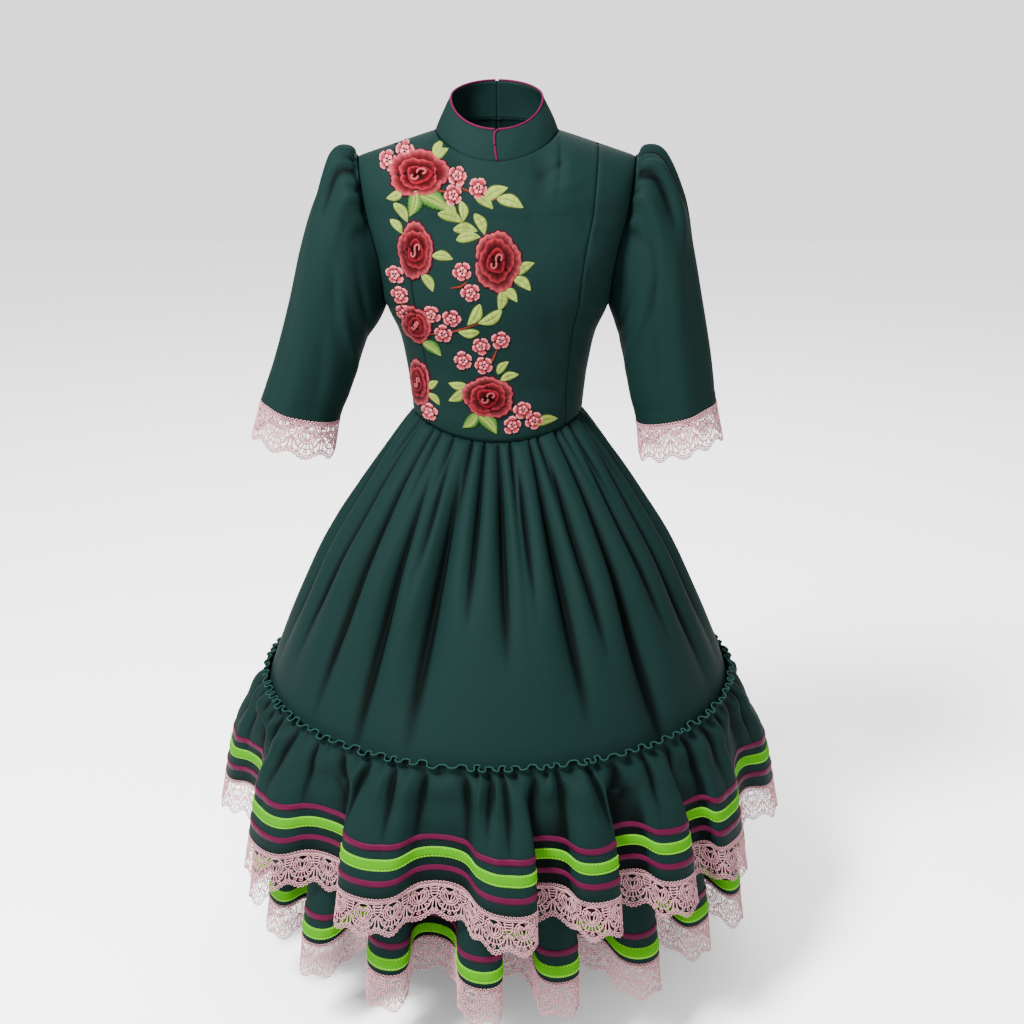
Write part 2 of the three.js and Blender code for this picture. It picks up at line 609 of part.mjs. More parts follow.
function sewSleeve(word, rows, side, lace) {
  const turns = Array.from({ length: SLEEVE_COLUMNS }, (_, i) => (-2 * Math.PI * i) / SLEEVE_COLUMNS);
  const outer = turns.map((turn, i) => {
    const capShare = smooth((Math.cos(turn) - 0.1) / 0.3);
    const gather = (i % 2 ? 1 : -1) * CAP_GATHER * capShare;
    const rings = rows.map((row, k) => sleeveRing(row, turn, gather * (GATHER_SHARES[k] ?? 0)));
    return [armholePoint(turn), ...rings];
  });
  const ways = outward(outer, true);
  ways.forEach((column, i) => {
    column[0].set(0, -Math.sin(turns[i]), Math.cos(turns[i]));
  });
  const inner = shifted(outer, ways, -CLOTH);
  sew(`sleeve_${word}`, wall(onSide(outer, side), onSide(inner, side), true), greenCloth);

  const last = rows[rows.length - 1];
  const face = turns.map((turn, i) => {
    const cuff = sleeveRing(last, turn);
    const end = sleeveRing(lace, turn);
    const down = end.clone().sub(cuff);
    const reach = 1 - (i % 2 ? SCALLOP / down.length() : 0);
    const top = cuff.clone().add(down.clone().setLength(SEAM_GAP + 0.4));
    return [top, cuff.addScaledVector(down, reach)];
  });
  const away = outward(face, true);
  const half = SLEEVE_COLUMNS / 2;
  for (const [end, first] of [["back", 0], ["front", half]]) {
    const cut = (grid) => onSide(cutColumns(grid, first, first + half), side);
    const back = cut(shifted(face, away, -LACE_THICK));
    sew(`sleeve_lace_${word}_${end}`, wall(cut(face), back, false, (i) => i % 2 === 0), pinkLace);
  }
}
sewSleeve("right", RIGHT_SLEEVE, -1, { outX: 377, outZ: -462, inX: 247, inZ: -492, deep: 66, forward: 17 });
sewSleeve("left", LEFT_SLEEVE, 1, { outX: 343, outZ: -460, inX: 214, inZ: -494, deep: 66, forward: 17 });

// Padded flower sprays are sewn over the right front. Each motif is a domed patch that
// follows the bodice, and patches that touch are one spray.
const FOOT_DEPTH = -0.8;
const PATCH_EDGE = 2.1;
function frontDepth(x, z) {
  let found = 0;
  for (const [a, b, c] of frontFaces) {
    const whole = (b.x - a.x) * (c.z - a.z) - (c.x - a.x) * (b.z - a.z);
    const u = ((x - a.x) * (c.z - a.z) - (c.x - a.x) * (z - a.z)) / whole;
    const v = ((b.x - a.x) * (z - a.z) - (x - a.x) * (b.z - a.z)) / whole;
    const inside = u > -0.03 && v > -0.03 && u + v < 1.03;
    if (inside) found = Math.min(found, a.y + u * (b.y - a.y) + v * (c.y - a.y));
  }
  return new THREE.Vector3(x, found, z);
}
function frontPoint(x, z, lift) {
  const step = 4;
  const sideways = frontDepth(x + step, z).sub(frontDepth(x - step, z));
  const upward = frontDepth(x, z + step).sub(frontDepth(x, z - step));
  const normal = sideways.cross(upward).normalize();
  if (normal.y > 0) normal.negate();
  return frontDepth(x, z).addScaledVector(normal, lift);
}

// A domed patch: rings are loops of [x, z] places with their height above the bodice, the
// outermost first. The foot repeats them just under the bodice's face.
function patch(centre, rings, crown) {
  const points = [];
  const faces = [];
  const add = (x, z, lift) => points.push(frontPoint(x, z, lift)) - 1;
  const layer = (level, turned) => {
    const tiers = rings.map((ring) => ring.places.map(([x, z]) => add(x, z, level ?? ring.lift)));
    const middle = add(...centre, level ?? crown);
    const face = (a, b, c) => faces.push(turned ? [a, c, b] : [a, b, c]);
    const n = tiers[0].length;
    for (let i = 0; i < n; i++) {
      const k = (i + 1) % n;
      for (let r = 0; r + 1 < tiers.length; r++) {
        face(tiers[r][i], tiers[r][k], tiers[r + 1][k]);
        face(tiers[r][i], tiers[r + 1][k], tiers[r + 1][i]);
      }
      face(tiers[tiers.length - 1][i], tiers[tiers.length - 1][k], middle);
    }
    return tiers[0];
  };
  const foot = layer(FOOT_DEPTH, true);
  const rim = layer(undefined, false);
  foot.forEach((id, i) => {
    const k = (i + 1) % foot.length;
    faces.push([id, foot[k], rim[k]], [id, rim[k], rim[i]]);
  });
  return solid(points, faces);
}
function bloom({ x, z, wide, tall }, petals, crown, waves) {
  const ring = (share, lift, ripple) => ({
    lift,
    places: Array.from({ length: petals }, (_, i) => {
      const a = (2 * Math.PI * i) / petals;
      const reach = share * (1 + (i % 2 ? -ripple : ripple));
      return [x + wide * reach * Math.cos(a), z + tall * reach * Math.sin(a)];
    }),
  });
  return patch([x, z], waves.map(([share, lift, ripple]) => ring(share, lift, ripple)), crown);
}
function leaf({ x, z, turn, length }) {
  const [c, s] = [Math.cos(rad(turn)), Math.sin(rad(turn))];
  const width = 0.24 * length + 2;
  const place = (a, b) => [x + c * a * length - s * b * width, z + s * a * length + c * b * width];
  const rim = [place(-0.2, 0), place(0.42, -1), place(1, 0), place(0.42, 1)];
  return patch(place(0.45, 0), [{ lift: PATCH_EDGE, places: rim }], 3);
}
function stem({ x, z, toX, toZ }) {
  const length = Math.hypot(toX - x, toZ - z);
  const side = [(-(toZ - z) / length) * 2.2, ((toX - x) / length) * 2.2];
  const at = (t, s) => [mix(x, toX, t) + s * side[0], mix(z, toZ, t) + s * side[1]];
  const rim = [at(0, -1), at(1, -1), at(1, 1), at(0, 1)];
  return patch(at(0.5, 0), [{ lift: PATCH_EDGE - 0.2, places: rim }], 2.2);
}
const ROSES = [
  { x: -108, z: -56, wide: 40, tall: 29 }, { x: -112, z: -157, wide: 26, tall: 38 },
  { x: 0, z: -169, wide: 33, tall: 42 }, { x: -114, z: -265, wide: 22, tall: 29 },
  { x: -114, z: -358, wide: 15, tall: 36 }, { x: -13, z: -368, wide: 38, tall: 33 },
];
const BLOSSOM = { wide: 14, tall: 14 };
const BLOSSOMS = [
  [-54, -57], [-60, -82], [-25, -73], [-128, -27], [-152, -40], [-48, -183], [-36, -212], [-143, -193],
  [-137, -222], [-132, -250], [-92, -246], [-63, -250], [-76, -274], [-22, -290], [6, -281],
  [-48, -313], [-19, -319], [37, -388], [22, -411], [53, -406], [-99, -400],
].map(([x, z]) => ({ x, z, ...BLOSSOM }));
const LEAVES = [
  [-15, -86, 25, 34], [5, -86, -20, 34], [-26, -84, -35, 26], [-112, -78, -105, 32], [-104, -82, -28, 40],
  [-70, -94, -50, 22], [-48, -92, -85, 24], [-77, -106, -20, 32], [-28, -108, -65, 28], [-56, -126, -5, 30],
  [-52, -139, 5, 30], [-86, -162, -10, 26], [-102, -190, -60, 26],
  [30, -184, 30, 26], [26, -191, -40, 28], [9, -205, -45, 28], [8, -210, -100, 28], [4, -240, -152, 34],
  [-24, -232, -122, 32], [-28, -270, 178, 27], [-104, -292, -35, 30], [2, -330, 48, 22], [8, -340, 15, 24],
  [-46, -352, 175, 24], [-48, -360, -142, 28], [-98, -362, 45, 18], [-98, -372, -45, 20],
  [-30, -396, -135, 26], [-24, -396, -50, 34], [58, -410, 5, 30], [-140, -96, -55, 28], [-146, -118, -50, 22],
].map(([x, z, turn, length]) => ({ x, z, turn, length }));
const STEMS = [
  [-88, -74, -60, -76], [-62, -68, 4, -88], [-108, -280, -24, -256], [-20, -330, 2, -290],
  [10, -380, 30, -392], [30, -392, 52, -404], [-128, -212, -140, -246],
].map(([x, z, toX, toZ]) => ({ x, z, toX, toZ }));

// Joins the motifs that touch, cuts their feet to the front and sews each spray.
function asManifold(geometry) {
  const merged = mergeVertices(geometry, 1e-4);
  const vertProperties = merged.attributes.position.array;
  const triVerts = new Uint32Array(merged.index.array);
  return new wasm.Manifold(new wasm.Mesh({ numProp: 3, vertProperties, triVerts }));
}
function asGeometry(body) {
  const mesh = body.getMesh();
  const geometry = new THREE.BufferGeometry();
  geometry.setAttribute("position", new THREE.BufferAttribute(new Float32Array(mesh.vertProperties), 3));
  geometry.setIndex(new THREE.BufferAttribute(new Uint32Array(mesh.triVerts), 1));
  return geometry;
}
const roseRings = [[1, PATCH_EDGE, 0.06], [0.55, 4.4, 0]];
const motifs = [
  ...ROSES.map((rose) => bloom(rose, 10, 3.8, roseRings)),
  ...BLOSSOMS.map((flower) => bloom(flower, 6, 3.8, [[1, PATCH_EDGE, 0]])),
  ...LEAVES.map(leaf),
  ...STEMS.map(stem),
];
const SMALLEST_SPRAY = 120;
const joined = motifs.map(asManifold).reduce((sum, m) => sum.add(m));
frontSpace
  .map(asManifold)
  .reduce((rest, space) => rest.subtract(space), joined)
  .simplify(0.35)
  .decompose()
  .filter((body) => body.volume() > SMALLEST_SPRAY)
  .sort((a, b) => b.volume() - a.volume())
  .forEach((body, k) => sew(`flower_spray_${k + 1}`, asGeometry(body), roseThread));

export default dress;
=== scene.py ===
import math
import bpy
import numpy as np
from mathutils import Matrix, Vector
from mathutils.bvhtree import BVHTree


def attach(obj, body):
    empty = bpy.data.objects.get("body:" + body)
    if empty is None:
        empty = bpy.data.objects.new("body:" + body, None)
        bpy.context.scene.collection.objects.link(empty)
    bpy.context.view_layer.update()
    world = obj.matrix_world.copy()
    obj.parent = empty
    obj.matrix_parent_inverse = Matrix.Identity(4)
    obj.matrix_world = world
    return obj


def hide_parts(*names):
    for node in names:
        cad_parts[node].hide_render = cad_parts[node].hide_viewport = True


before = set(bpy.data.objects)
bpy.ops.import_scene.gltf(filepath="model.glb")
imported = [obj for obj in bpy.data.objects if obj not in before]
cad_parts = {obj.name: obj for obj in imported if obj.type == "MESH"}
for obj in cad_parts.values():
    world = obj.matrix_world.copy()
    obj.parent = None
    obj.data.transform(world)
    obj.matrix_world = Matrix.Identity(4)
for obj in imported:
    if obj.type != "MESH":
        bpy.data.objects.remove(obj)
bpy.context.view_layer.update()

MM = 0.001

# The camera stands in front of the dress, a little to its left, and looks down on it.
CAMERA_PLACE = (0.0215, -2.300, 0.213)
CAMERA_DOWN = math.radians(19)
CAMERA_SENSOR = 36
CAMERA_LENS = 55.3
camera_data = bpy.data.cameras.new("camera")
camera_data.sensor_width = CAMERA_SENSOR
camera_data.lens = CAMERA_LENS
camera = bpy.data.objects.new("camera", camera_data)
camera.location = CAMERA_PLACE
camera.rotation_euler = (math.pi / 2 - CAMERA_DOWN, 0, 0)
bpy.context.scene.collection.objects.link(camera)
bpy.context.scene.camera = camera

# A pale studio: a broad key light high on the left, a fill on the right, a light over the
# back, and a floor at the wearer's feet.
FLOOR_Z = -1.307
FLOOR_REACH = 7.0
SKY_STRENGTH = 1.8


def area_light(name, place, aim, size, power):
    data = bpy.data.lights.new(name, "AREA")
    data.size = size
    data.energy = power
    light = bpy.data.objects.new(name, data)
    light.location = place
    light.rotation_euler = (Vector(aim) - Vector(place)).to_track_quat("-Z", "Y").to_euler()
    bpy.context.scene.collection.objects.link(light)


def new_material(name, values):
    """A material with values set on its shader, its node tree and the shader."""
    material = bpy.data.materials.new(name)
    material.use_nodes = True
    shader = material.node_tree.nodes["Principled BSDF"]
    for socket, value in values.items():
        shader.inputs[socket].default_value = value
    return material, material.node_tree, shader


area_light("key", (-1.35, -1.6, 2.0), (0, 0, -0.35), 0.8, 640)
area_light("fill", (2.6, -1.9, 0.9), (0, 0, -0.7), 1.6, 45)
area_light("back", (0.4, 2.8, 2.2), (0, 0, -0.5), 2.0, 150)

world = bpy.data.worlds.new("studio")
world.use_nodes = True
world.node_tree.nodes["Background"].inputs["Color"].default_value = (1, 1, 1, 1)
world.node_tree.nodes["Background"].inputs["Strength"].default_value = SKY_STRENGTH
bpy.context.scene.world = world

floor_mesh = bpy.data.meshes.new("floor")
floor_corners = [(x * FLOOR_REACH, y * FLOOR_REACH, FLOOR_Z) for x, y in ((-1, -1), (1, -1), (1, 1), (-1, 1))]
floor_mesh.from_pydata(floor_corners, [], [(0, 1, 2, 3)])
floor = bpy.data.objects.new("floor", floor_mesh)
bpy.context.scene.collection.objects.link(floor)
floor_paint, _, _ = new_material("pale_floor", {"Base Color": (0.94, 0.94, 0.94, 1), "Roughness": 0.75})
floor_mesh.materials.append(floor_paint)

# The skirt: two panels of bottle green crepe twill, front and back, joined at the sides and
# gathered into the waist seam. Its sizes are in millimetres, as a cutter writes them.
WAIST_SIDE_Z = -412
SKIRT_END_Z = -880
BELL = {
    "z": [-412, -440, -485, -543, -607, -682, -750, -838, -880],
    "wide": [125, 148, 180, 217, 257, 295, 327, 362, 373],
    "deep": [101, 124, 160, 203, 247, 288, 323, 360, 373],
}
CLOTH = 1.1
HALVES = {"front": -90, "back": 90}


def smooth(t):
    c = np.clip(t, 0, 1)
    return c * c * (3 - 2 * c)


def mix(a, b, t):
    return a + (b - a) * t


def unit(vectors):
    return vectors / np.linalg.norm(vectors, axis=-1, keepdims=True)


def curve(y, tangent, i, gap, t):
    """Values on a smooth curve, a share t of the way along the gap from knot i to the next."""
    return (
        (1 + 2 * t) * (1 - t) ** 2 * y[i]
        + t * (1 - t) ** 2 * gap * tangent[i]
        + t * t * (3 - 2 * t) * y[i + 1]
        + t * t * (t - 1) * gap * tangent[i + 1]
    )


def profile(table, column, at):
    """Reads a column of a table at heights between its rows along a smooth curve."""
    x = np.array(table["z"], float)
    y = np.array(table[column], float)
    if x[0] > x[-1]:
        x, y = x[::-1], y[::-1]
    slope = np.diff(y) / np.diff(x)
    tangent = np.concatenate([[slope[0]], (slope[:-1] + slope[1:]) / 2, [slope[-1]]])
    at = np.clip(np.asarray(at, float), x[0], x[-1])
    i = np.clip(np.searchsorted(x, at) - 1, 0, len(x) - 2)
    gap = x[i + 1] - x[i]
    return curve(y, tangent, i, gap, (at - x[i]) / gap)


def waist_z(angle):
    forward = np.cos(angle)
    return WAIST_SIDE_Z - np.where(forward > 0, 26, 8) * forward * forward


def near_angle(angle, centre):
    """How far an angle lies from a centre, in degrees, the short way round."""
    return (np.degrees(angle) - centre + 180) % 360 - 180


# Soft folds that fall from the waist, by the angle where each lies, how deep and how wide it
# is, and the shares of the skirt's length where it is deepest and where it has gone.
SKIRT_FOLDS = [
    # angle, depth, width, deepest, gone
    (-79, 11, 4.2, 0.38, 0.92), (-64, 11, 3.8, 0.34, 0.88), (-50, 13, 3.8, 0.42, 0.98),
    (-36, 15, 3.6, 0.50, 1.04), (-28, 7, 2.6, 0.22, 0.56), (-20, 21, 4.8, 0.42, 0.98),
    (-8, 8, 2.8, 0.24, 0.58), (2, 12, 3.0, 0.26, 0.68),
    (12, 8, 2.6, 0.22, 0.52), (21, 16, 3.4, 0.36, 0.88), (31, 11, 3.0, 0.30, 0.74), (43, 17, 3.6, 0.58, 1.06),
    (54, 9, 3.0, 0.30, 0.76), (66, 13, 3.8, 0.42, 0.96), (80, 11, 4.2, 0.40, 0.92),
    (93, 9, 3.6, 0.32, 0.84), (105, 13, 4.6, 0.44, 0.96), (117, 7, 3.2, 0.28, 0.74),
    (128, 12, 4.2, 0.42, 0.94), (140, 9, 3.4, 0.34, 0.86), (151, 14, 4.4, 0.46, 0.98),
    (163, 7, 3.2, 0.30, 0.74), (174, 11, 4.0, 0.40, 0.90), (186, 13, 4.2, 0.44, 0.96),
    (198, 8, 3.4, 0.30, 0.80), (209, 13, 4.4, 0.44, 0.96), (221, 7, 3.2, 0.28, 0.76),
    (232, 12, 4.2, 0.42, 0.94), (244, 9, 3.6, 0.34, 0.84), (256, 13, 4.6, 0.44, 0.96),
    (268, 8, 3.4, 0.32, 0.82),
]
GATHERS_ROUND = 36


def skirt_points(angle, share):
    """Points of the skirt's face for angles round the body and shares down its length."""
    level = mix(WAIST_SIDE_Z, SKIRT_END_Z, share)
    out = np.zeros(np.broadcast(angle, share).shape)
    for centre, depth, width, deepest, gone in SKIRT_FOLDS:
        rise = smooth(share / deepest) * (1 - smooth((share - deepest) / (gone - deepest)))
        spread = width * (0.55 + 0.75 * share)
        lean = 1.5 * np.sin(centre) * share
        across = near_angle(angle, centre + lean) / spread
        out = out + 1.9 * depth * rise * (spread / 200 - np.exp(-(np.abs(across) ** 1.5)))
    rng = np.random.default_rng(7)
    for k in range(GATHERS_ROUND):
        centre = 360 * (k + rng.uniform(-0.3, 0.3)) / GATHERS_ROUND
        length = rng.uniform(0.10, 0.30)
        spread = rng.uniform(1.7, 2.9)
        across = near_angle(angle, centre) / spread
        size = rng.uniform(9.0, 15.0) * smooth((share + 0.012) / 0.03) * np.exp(-((share / length) ** 1.5))
        out = out + size * (spread / 200 - np.exp(-(np.abs(across) ** 1.3)))
    wide = profile(BELL, "wide", level) + out
    deep = profile(BELL, "deep", level) + out
    z = mix(waist_z(angle), SKIRT_END_Z, share) + 0 * out
    return np.stack([wide * np.sin(angle), -deep * np.cos(angle), z], axis=-1)


def steps(points, axis):
    """Running length along one axis of a grid of points, in millimetres."""
    gaps = np.linalg.norm(np.diff(points, axis=axis), axis=-1)
    start = np.zeros_like(np.take(gaps, [0], axis=axis))
    return np.concatenate([start, np.cumsum(gaps, axis=axis)], axis=axis)


def outward_ways(points):
    """Unit directions that point out of a grid of columns that runs to the wearer's left."""
    return unit(np.cross(np.gradient(points, axis=1), np.gradient(points, axis=0)))


def hollows(points):
    """How deep each point lies in a fold, from 0 on open cloth to 1 down in a narrow valley."""
    way = outward_ways(points)
    apart = np.linalg.norm(np.diff(points, axis=0), axis=-1).mean()
    deep = np.zeros(points.shape[:2])
    for reach, full in ((12, 3.2), (34, 9.0)):
        n = max(1, round(reach / apart))
        padded = np.concatenate([points[:1]] * (n + 1) + [points] + [points[-1:]] * n)
        total = np.cumsum(padded, axis=0)
        around = (total[2 * n + 1 :] - total[: -2 * n - 1]) / (2 * n + 1)
        deep = deep + ((around - points) * way).sum(axis=-1) / full
    return np.clip(deep, 0, 1)


def grid_faces(columns, rows, start=0):
    """Four-cornered faces of a grid of points kept column by column."""
    index = start + np.arange(columns * rows).reshape(columns, rows)
    corners = [index[:-1, :-1], index[:-1, 1:], index[1:, 1:], index[1:, :-1]]
    return np.stack(corners, axis=-1).reshape(-1, 4)


def make_piece(name, points, faces, material):
    """A piece from points in millimetres and a list of faces."""
    mesh = bpy.data.meshes.new(name)
    mesh.from_pydata((np.asarray(points) * MM).tolist(), [], faces)
    mesh.shade_smooth()
    mesh.materials.append(material)
    piece = bpy.data.objects.new(name, mesh)
    bpy.context.scene.collection.objects.link(piece)
    return piece


def cloth_sheet(name, points, material, thickness=CLOTH):
    """Makes a sheet from columns of points that run to the wearer's left, each from top to
    bottom. The points lie on its outer face, and its UV map is in metres along the cloth."""
    columns, rows = points.shape[:2]
    corners = grid_faces(columns, rows)
    piece = make_piece(name, points.reshape(-1, 3), corners.tolist(), material)
    along = np.broadcast_to(steps(points, 0)[:, [rows // 2]], (columns, rows))
    down = steps(points, 1)
    uv = np.stack([along, -down], axis=-1).reshape(-1, 2) * MM
    piece.data.uv_layers.new(name="cloth").data.foreach_set("uv", uv[corners.reshape(-1)].ravel())
    # How deep each point lies in a fold is kept for the twill material, which paints shade into the folds
    # with it.
    painted_fold_shade = piece.data.attributes.new("painted_fold_shade", "FLOAT", "POINT")
    painted_fold_shade.data.foreach_set("value", hollows(points).ravel())
    wall = piece.modifiers.new("wall", "SOLIDIFY")
    wall.thickness = thickness * MM
    wall.offset = -1
    return piece


def add_node(tree, kind, values=None, feeds=None, **settings):
    """Adds a node to a tree, with its settings, its values and what feeds its sockets."""
    made = tree.nodes.new(kind)
    for key, value in settings.items():
        setattr(made, key, value)
    for socket, value in (values or {}).items():
        made.inputs[socket].default_value = value
    for socket, source in (feeds or {}).items():
        tree.links.new(source, made.inputs[socket])
    return made


def add_bump(tree, shader, height, distance, strength):
    """Lets a height raise the surface that a shader shows."""
    bump = add_node(tree, "ShaderNodeBump", {"Distance": distance, "Strength": strength}, {"Height": height})
    tree.links.new(bump.outputs["Normal"], shader.inputs["Normal"])


def twill_group():
    """The crepe twill's fine diagonal ribs, its uneven colour, and painted shade that darkens it down in
    folds.
    """
    group = bpy.data.node_groups.new("crepe twill", "ShaderNodeTree")
    for label, kind, start in [
        ("Shade", "NodeSocketColor", (0.02, 0.05, 0.04, 1)),
        ("Lit", "NodeSocketColor", (0.03, 0.07, 0.06, 1)),
        ("Ribs a metre", "NodeSocketFloat", 700.0),
        ("Rib strength", "NodeSocketFloat", 0.4),
    ]:
        group.interface.new_socket(label, in_out="INPUT", socket_type=kind).default_value = start
    group.interface.new_socket("Colour", in_out="OUTPUT", socket_type="NodeSocketColor")
    group.interface.new_socket("Height", in_out="OUTPUT", socket_type="NodeSocketFloat")
    given = add_node(group, "NodeGroupInput").outputs
    place = add_node(group, "ShaderNodeUVMap", uv_map="cloth").outputs["UV"]
    scale = {0: place, "Scale": given["Ribs a metre"]}
    scaled = add_node(group, "ShaderNodeVectorMath", feeds=scale, operation="SCALE").outputs["Vector"]
    wave = {"Scale": 0.32, "Distortion": 0.7, "Detail": 1}
    woven = add_node(group, "ShaderNodeTexWave", wave, {"Vector": scaled}, bands_direction="DIAGONAL")
    ribs = woven.outputs["Fac"]
    mottle = add_node(group, "ShaderNodeTexNoise", {"Scale": 260, "Detail": 5}, {"Vector": place})
    terms = {0: ribs, 2: mottle.outputs["Fac"]}
    blend = add_node(group, "ShaderNodeMath", {1: 0.35}, terms, operation="MULTIPLY_ADD")
    shades = {"Factor": blend.outputs[0], "A": given["Shade"], "B": given["Lit"]}
    colour = add_node(group, "ShaderNodeMix", feeds=shades, data_type="RGBA").outputs["Result"]
    # Painted shade: the colour is darkened down to 0.16 of itself where the cloth lies deepest in a fold.
    painted_fold_shade = add_node(group, "ShaderNodeAttribute", attribute_name="painted_fold_shade").outputs["Fac"]
    depth = add_node(group, "ShaderNodeMapRange", {"To Min": 1.0, "To Max": 0.16}, {"Value": painted_fold_shade})
    darken = {0: colour, "Scale": depth.outputs["Result"]}
    fold_shaded_colour = add_node(group, "ShaderNodeVectorMath", feeds=darken, operation="SCALE").outputs["Vector"]
    factors = {0: ribs, 1: given["Rib strength"]}
    raised = add_node(group, "ShaderNodeMath", feeds=factors, operation="MULTIPLY")
    add_node(group, "NodeGroupOutput", feeds={"Colour": fold_shaded_colour, "Height": raised.outputs[0]})
    return group


twill = twill_group()


def twill_cloth(name, shade, lit, roughness, ribs=700.0):
    """A cloth of the twill weave, with its own colours and gloss."""
    material, tree, shader = new_material(name, {"Roughness": roughness, "Specular IOR Level": 0.02})
    weave = tree.nodes.new("ShaderNodeGroup")
    weave.node_tree = twill
    for socket, value in (("Shade", shade), ("Lit", lit), ("Ribs a metre", ribs)):
        weave.inputs[socket].default_value = value
    tree.links.new(weave.outputs["Colour"], shader.inputs["Base Color"])
    add_bump(tree, shader, weave.outputs["Height"], 0.0003, 0.35)
    return material


CREPE_SHADE = (0.0017, 0.0062, 0.0055, 1)
CREPE_LIT = (0.0027, 0.0092, 0.0082, 1)
green_cloth = twill_cloth("bottle_green_crepe", CREPE_SHADE, CREPE_LIT, 0.7)


def finish_cloth(piece, node):
    """Hangs a cloth piece on the root body and hides the part that it replaces."""
    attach(piece, "root")
    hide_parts(node)


SKIRT_COLUMNS = 350
SKIRT_ROWS = 42
for half, start in HALVES.items():
    angle = np.radians(np.linspace(start + 0.03, start + 179.97, SKIRT_COLUMNS))[:, None]
    share = np.linspace(0, 1, SKIRT_ROWS)[None, :] ** 1.15
    name = "skirt_" + half
    panel = cloth_sheet(name + "_panel", skirt_points(angle, share), green_cloth)
    finish_cloth(panel, name)

# The upper flounce: a straight strip of the same crepe, front and back, gathered on to the
# skirt with fine pleats. Its overlocked top edge stands above the seam as a wavy heading.
UPPER_SHAPE = {
    "z": [-825, -838, -856, -880, -912, -960, -1005, -1075],
    "radius": [368, 364.5, 373, 386, 401, 411, 419, 430],
    "wave": [0, 0, 4, 11, 17, 21, 23, 25],
    "dip": [0, 0, 0, 2, 4, 6, 8, 11],
}
UPPER_WAVES = [
    # angle, depth, how far the flute leans over to one side
    (-52, 1.0, -1.2), (-25, 1.05, -1.0), (2.5, 1.25, 1.1), (19, 0.9, 1.3), (36, 1.05, 1.2), (54, 0.6, -0.7),
    (84, 1.1, 0.8), (101, 0.9, -0.6), (118, 1.1, 0.7), (135, 0.8, -0.8), (152, 1.05, 1.0), (169, 0.9, -0.9),
    (186, 1.1, 0.8), (203, 0.8, -0.7), (220, 1.1, 1.0), (237, 0.95, -0.6), (254, 0.8, 0.6), (272, 1.1, -0.8),
]
HEADING_Z = -825
SEAM_Z = -838
UPPER_HEM_Z = -1005
LOWER_SHAPE = {
    "z": [-880, -935, -990, -1040, -1095, -1140, -1205],
    "radius": [373, 369, 366, 366, 371, 376, 381],
    "wave": [0, 7, 16, 24, 31, 35, 38],
    "dip": [0, 0, 2, 6, 10, 13, 16],
}
LOWER_WAVES = [
    (-77, 0.9, 0.6), (-60, 0.7, -0.8), (-42, 1.0, -0.7), (-25, 1.1, 0.6), (-3.5, 1.1, 0.5), (12, 1.0, 0.6),
    (31, 1.1, 0.7), (50, 0.7, 0.5), (68, 1.0, -0.6), (88, 0.9, 0.5), (111, 1.1, -0.6), (139, 0.9, 0.4),
    (167, 1.1, 0.7), (196, 0.9, -0.6), (226, 1.1, 0.5), (255, 1.0, -0.4),
]
LOWER_HEM_Z = -1140
PLEATS_ROUND = 107
CLEAR_OF_SKIRT = 350.0
CLEAR_OF_LOWER = 375.5


def wave_at(waves, angle):
    """Phase, depth and lean of the flutes at angles round the body."""
    degrees = (np.degrees(angle) - waves[0][0]) % 360 + waves[0][0]
    centres = np.array([w[0] for w in waves] + [waves[0][0] + 360], float)
    depths = np.array([w[1] for w in waves] + [waves[0][1]])
    leans = np.array([w[2] for w in waves] + [waves[0][2]])
    i = np.clip(np.searchsorted(centres, degrees, side="right") - 1, 0, len(waves) - 1)
    t = (degrees - centres[i]) / (centres[i + 1] - centres[i])
    lean = mix(leans[i], leans[i + 1], smooth((t - 0.2) / 0.6))
    return 2 * np.pi * t, mix(depths[i], depths[i + 1], t), lean


pleat_rng = np.random.default_rng(11)
pleat_steps = pleat_rng.uniform(0.6, 1.4, PLEATS_ROUND)
pleat_starts = np.concatenate([[0], np.cumsum(pleat_steps)]) / pleat_steps.sum() * 2 * np.pi
pleat_sizes = pleat_rng.uniform(0.55, 1.25, PLEATS_ROUND + 1)
pleat_sizes[-1] = pleat_sizes[0]


def pleat_at(angle):
    """Phase and size of the small uneven pleats along the gathering seam."""
    a = angle % (2 * np.pi)
    phase = np.interp(a, pleat_starts, np.arange(PLEATS_ROUND + 1)) * 2 * np.pi
    return phase, np.interp(a, pleat_starts, pleat_sizes)


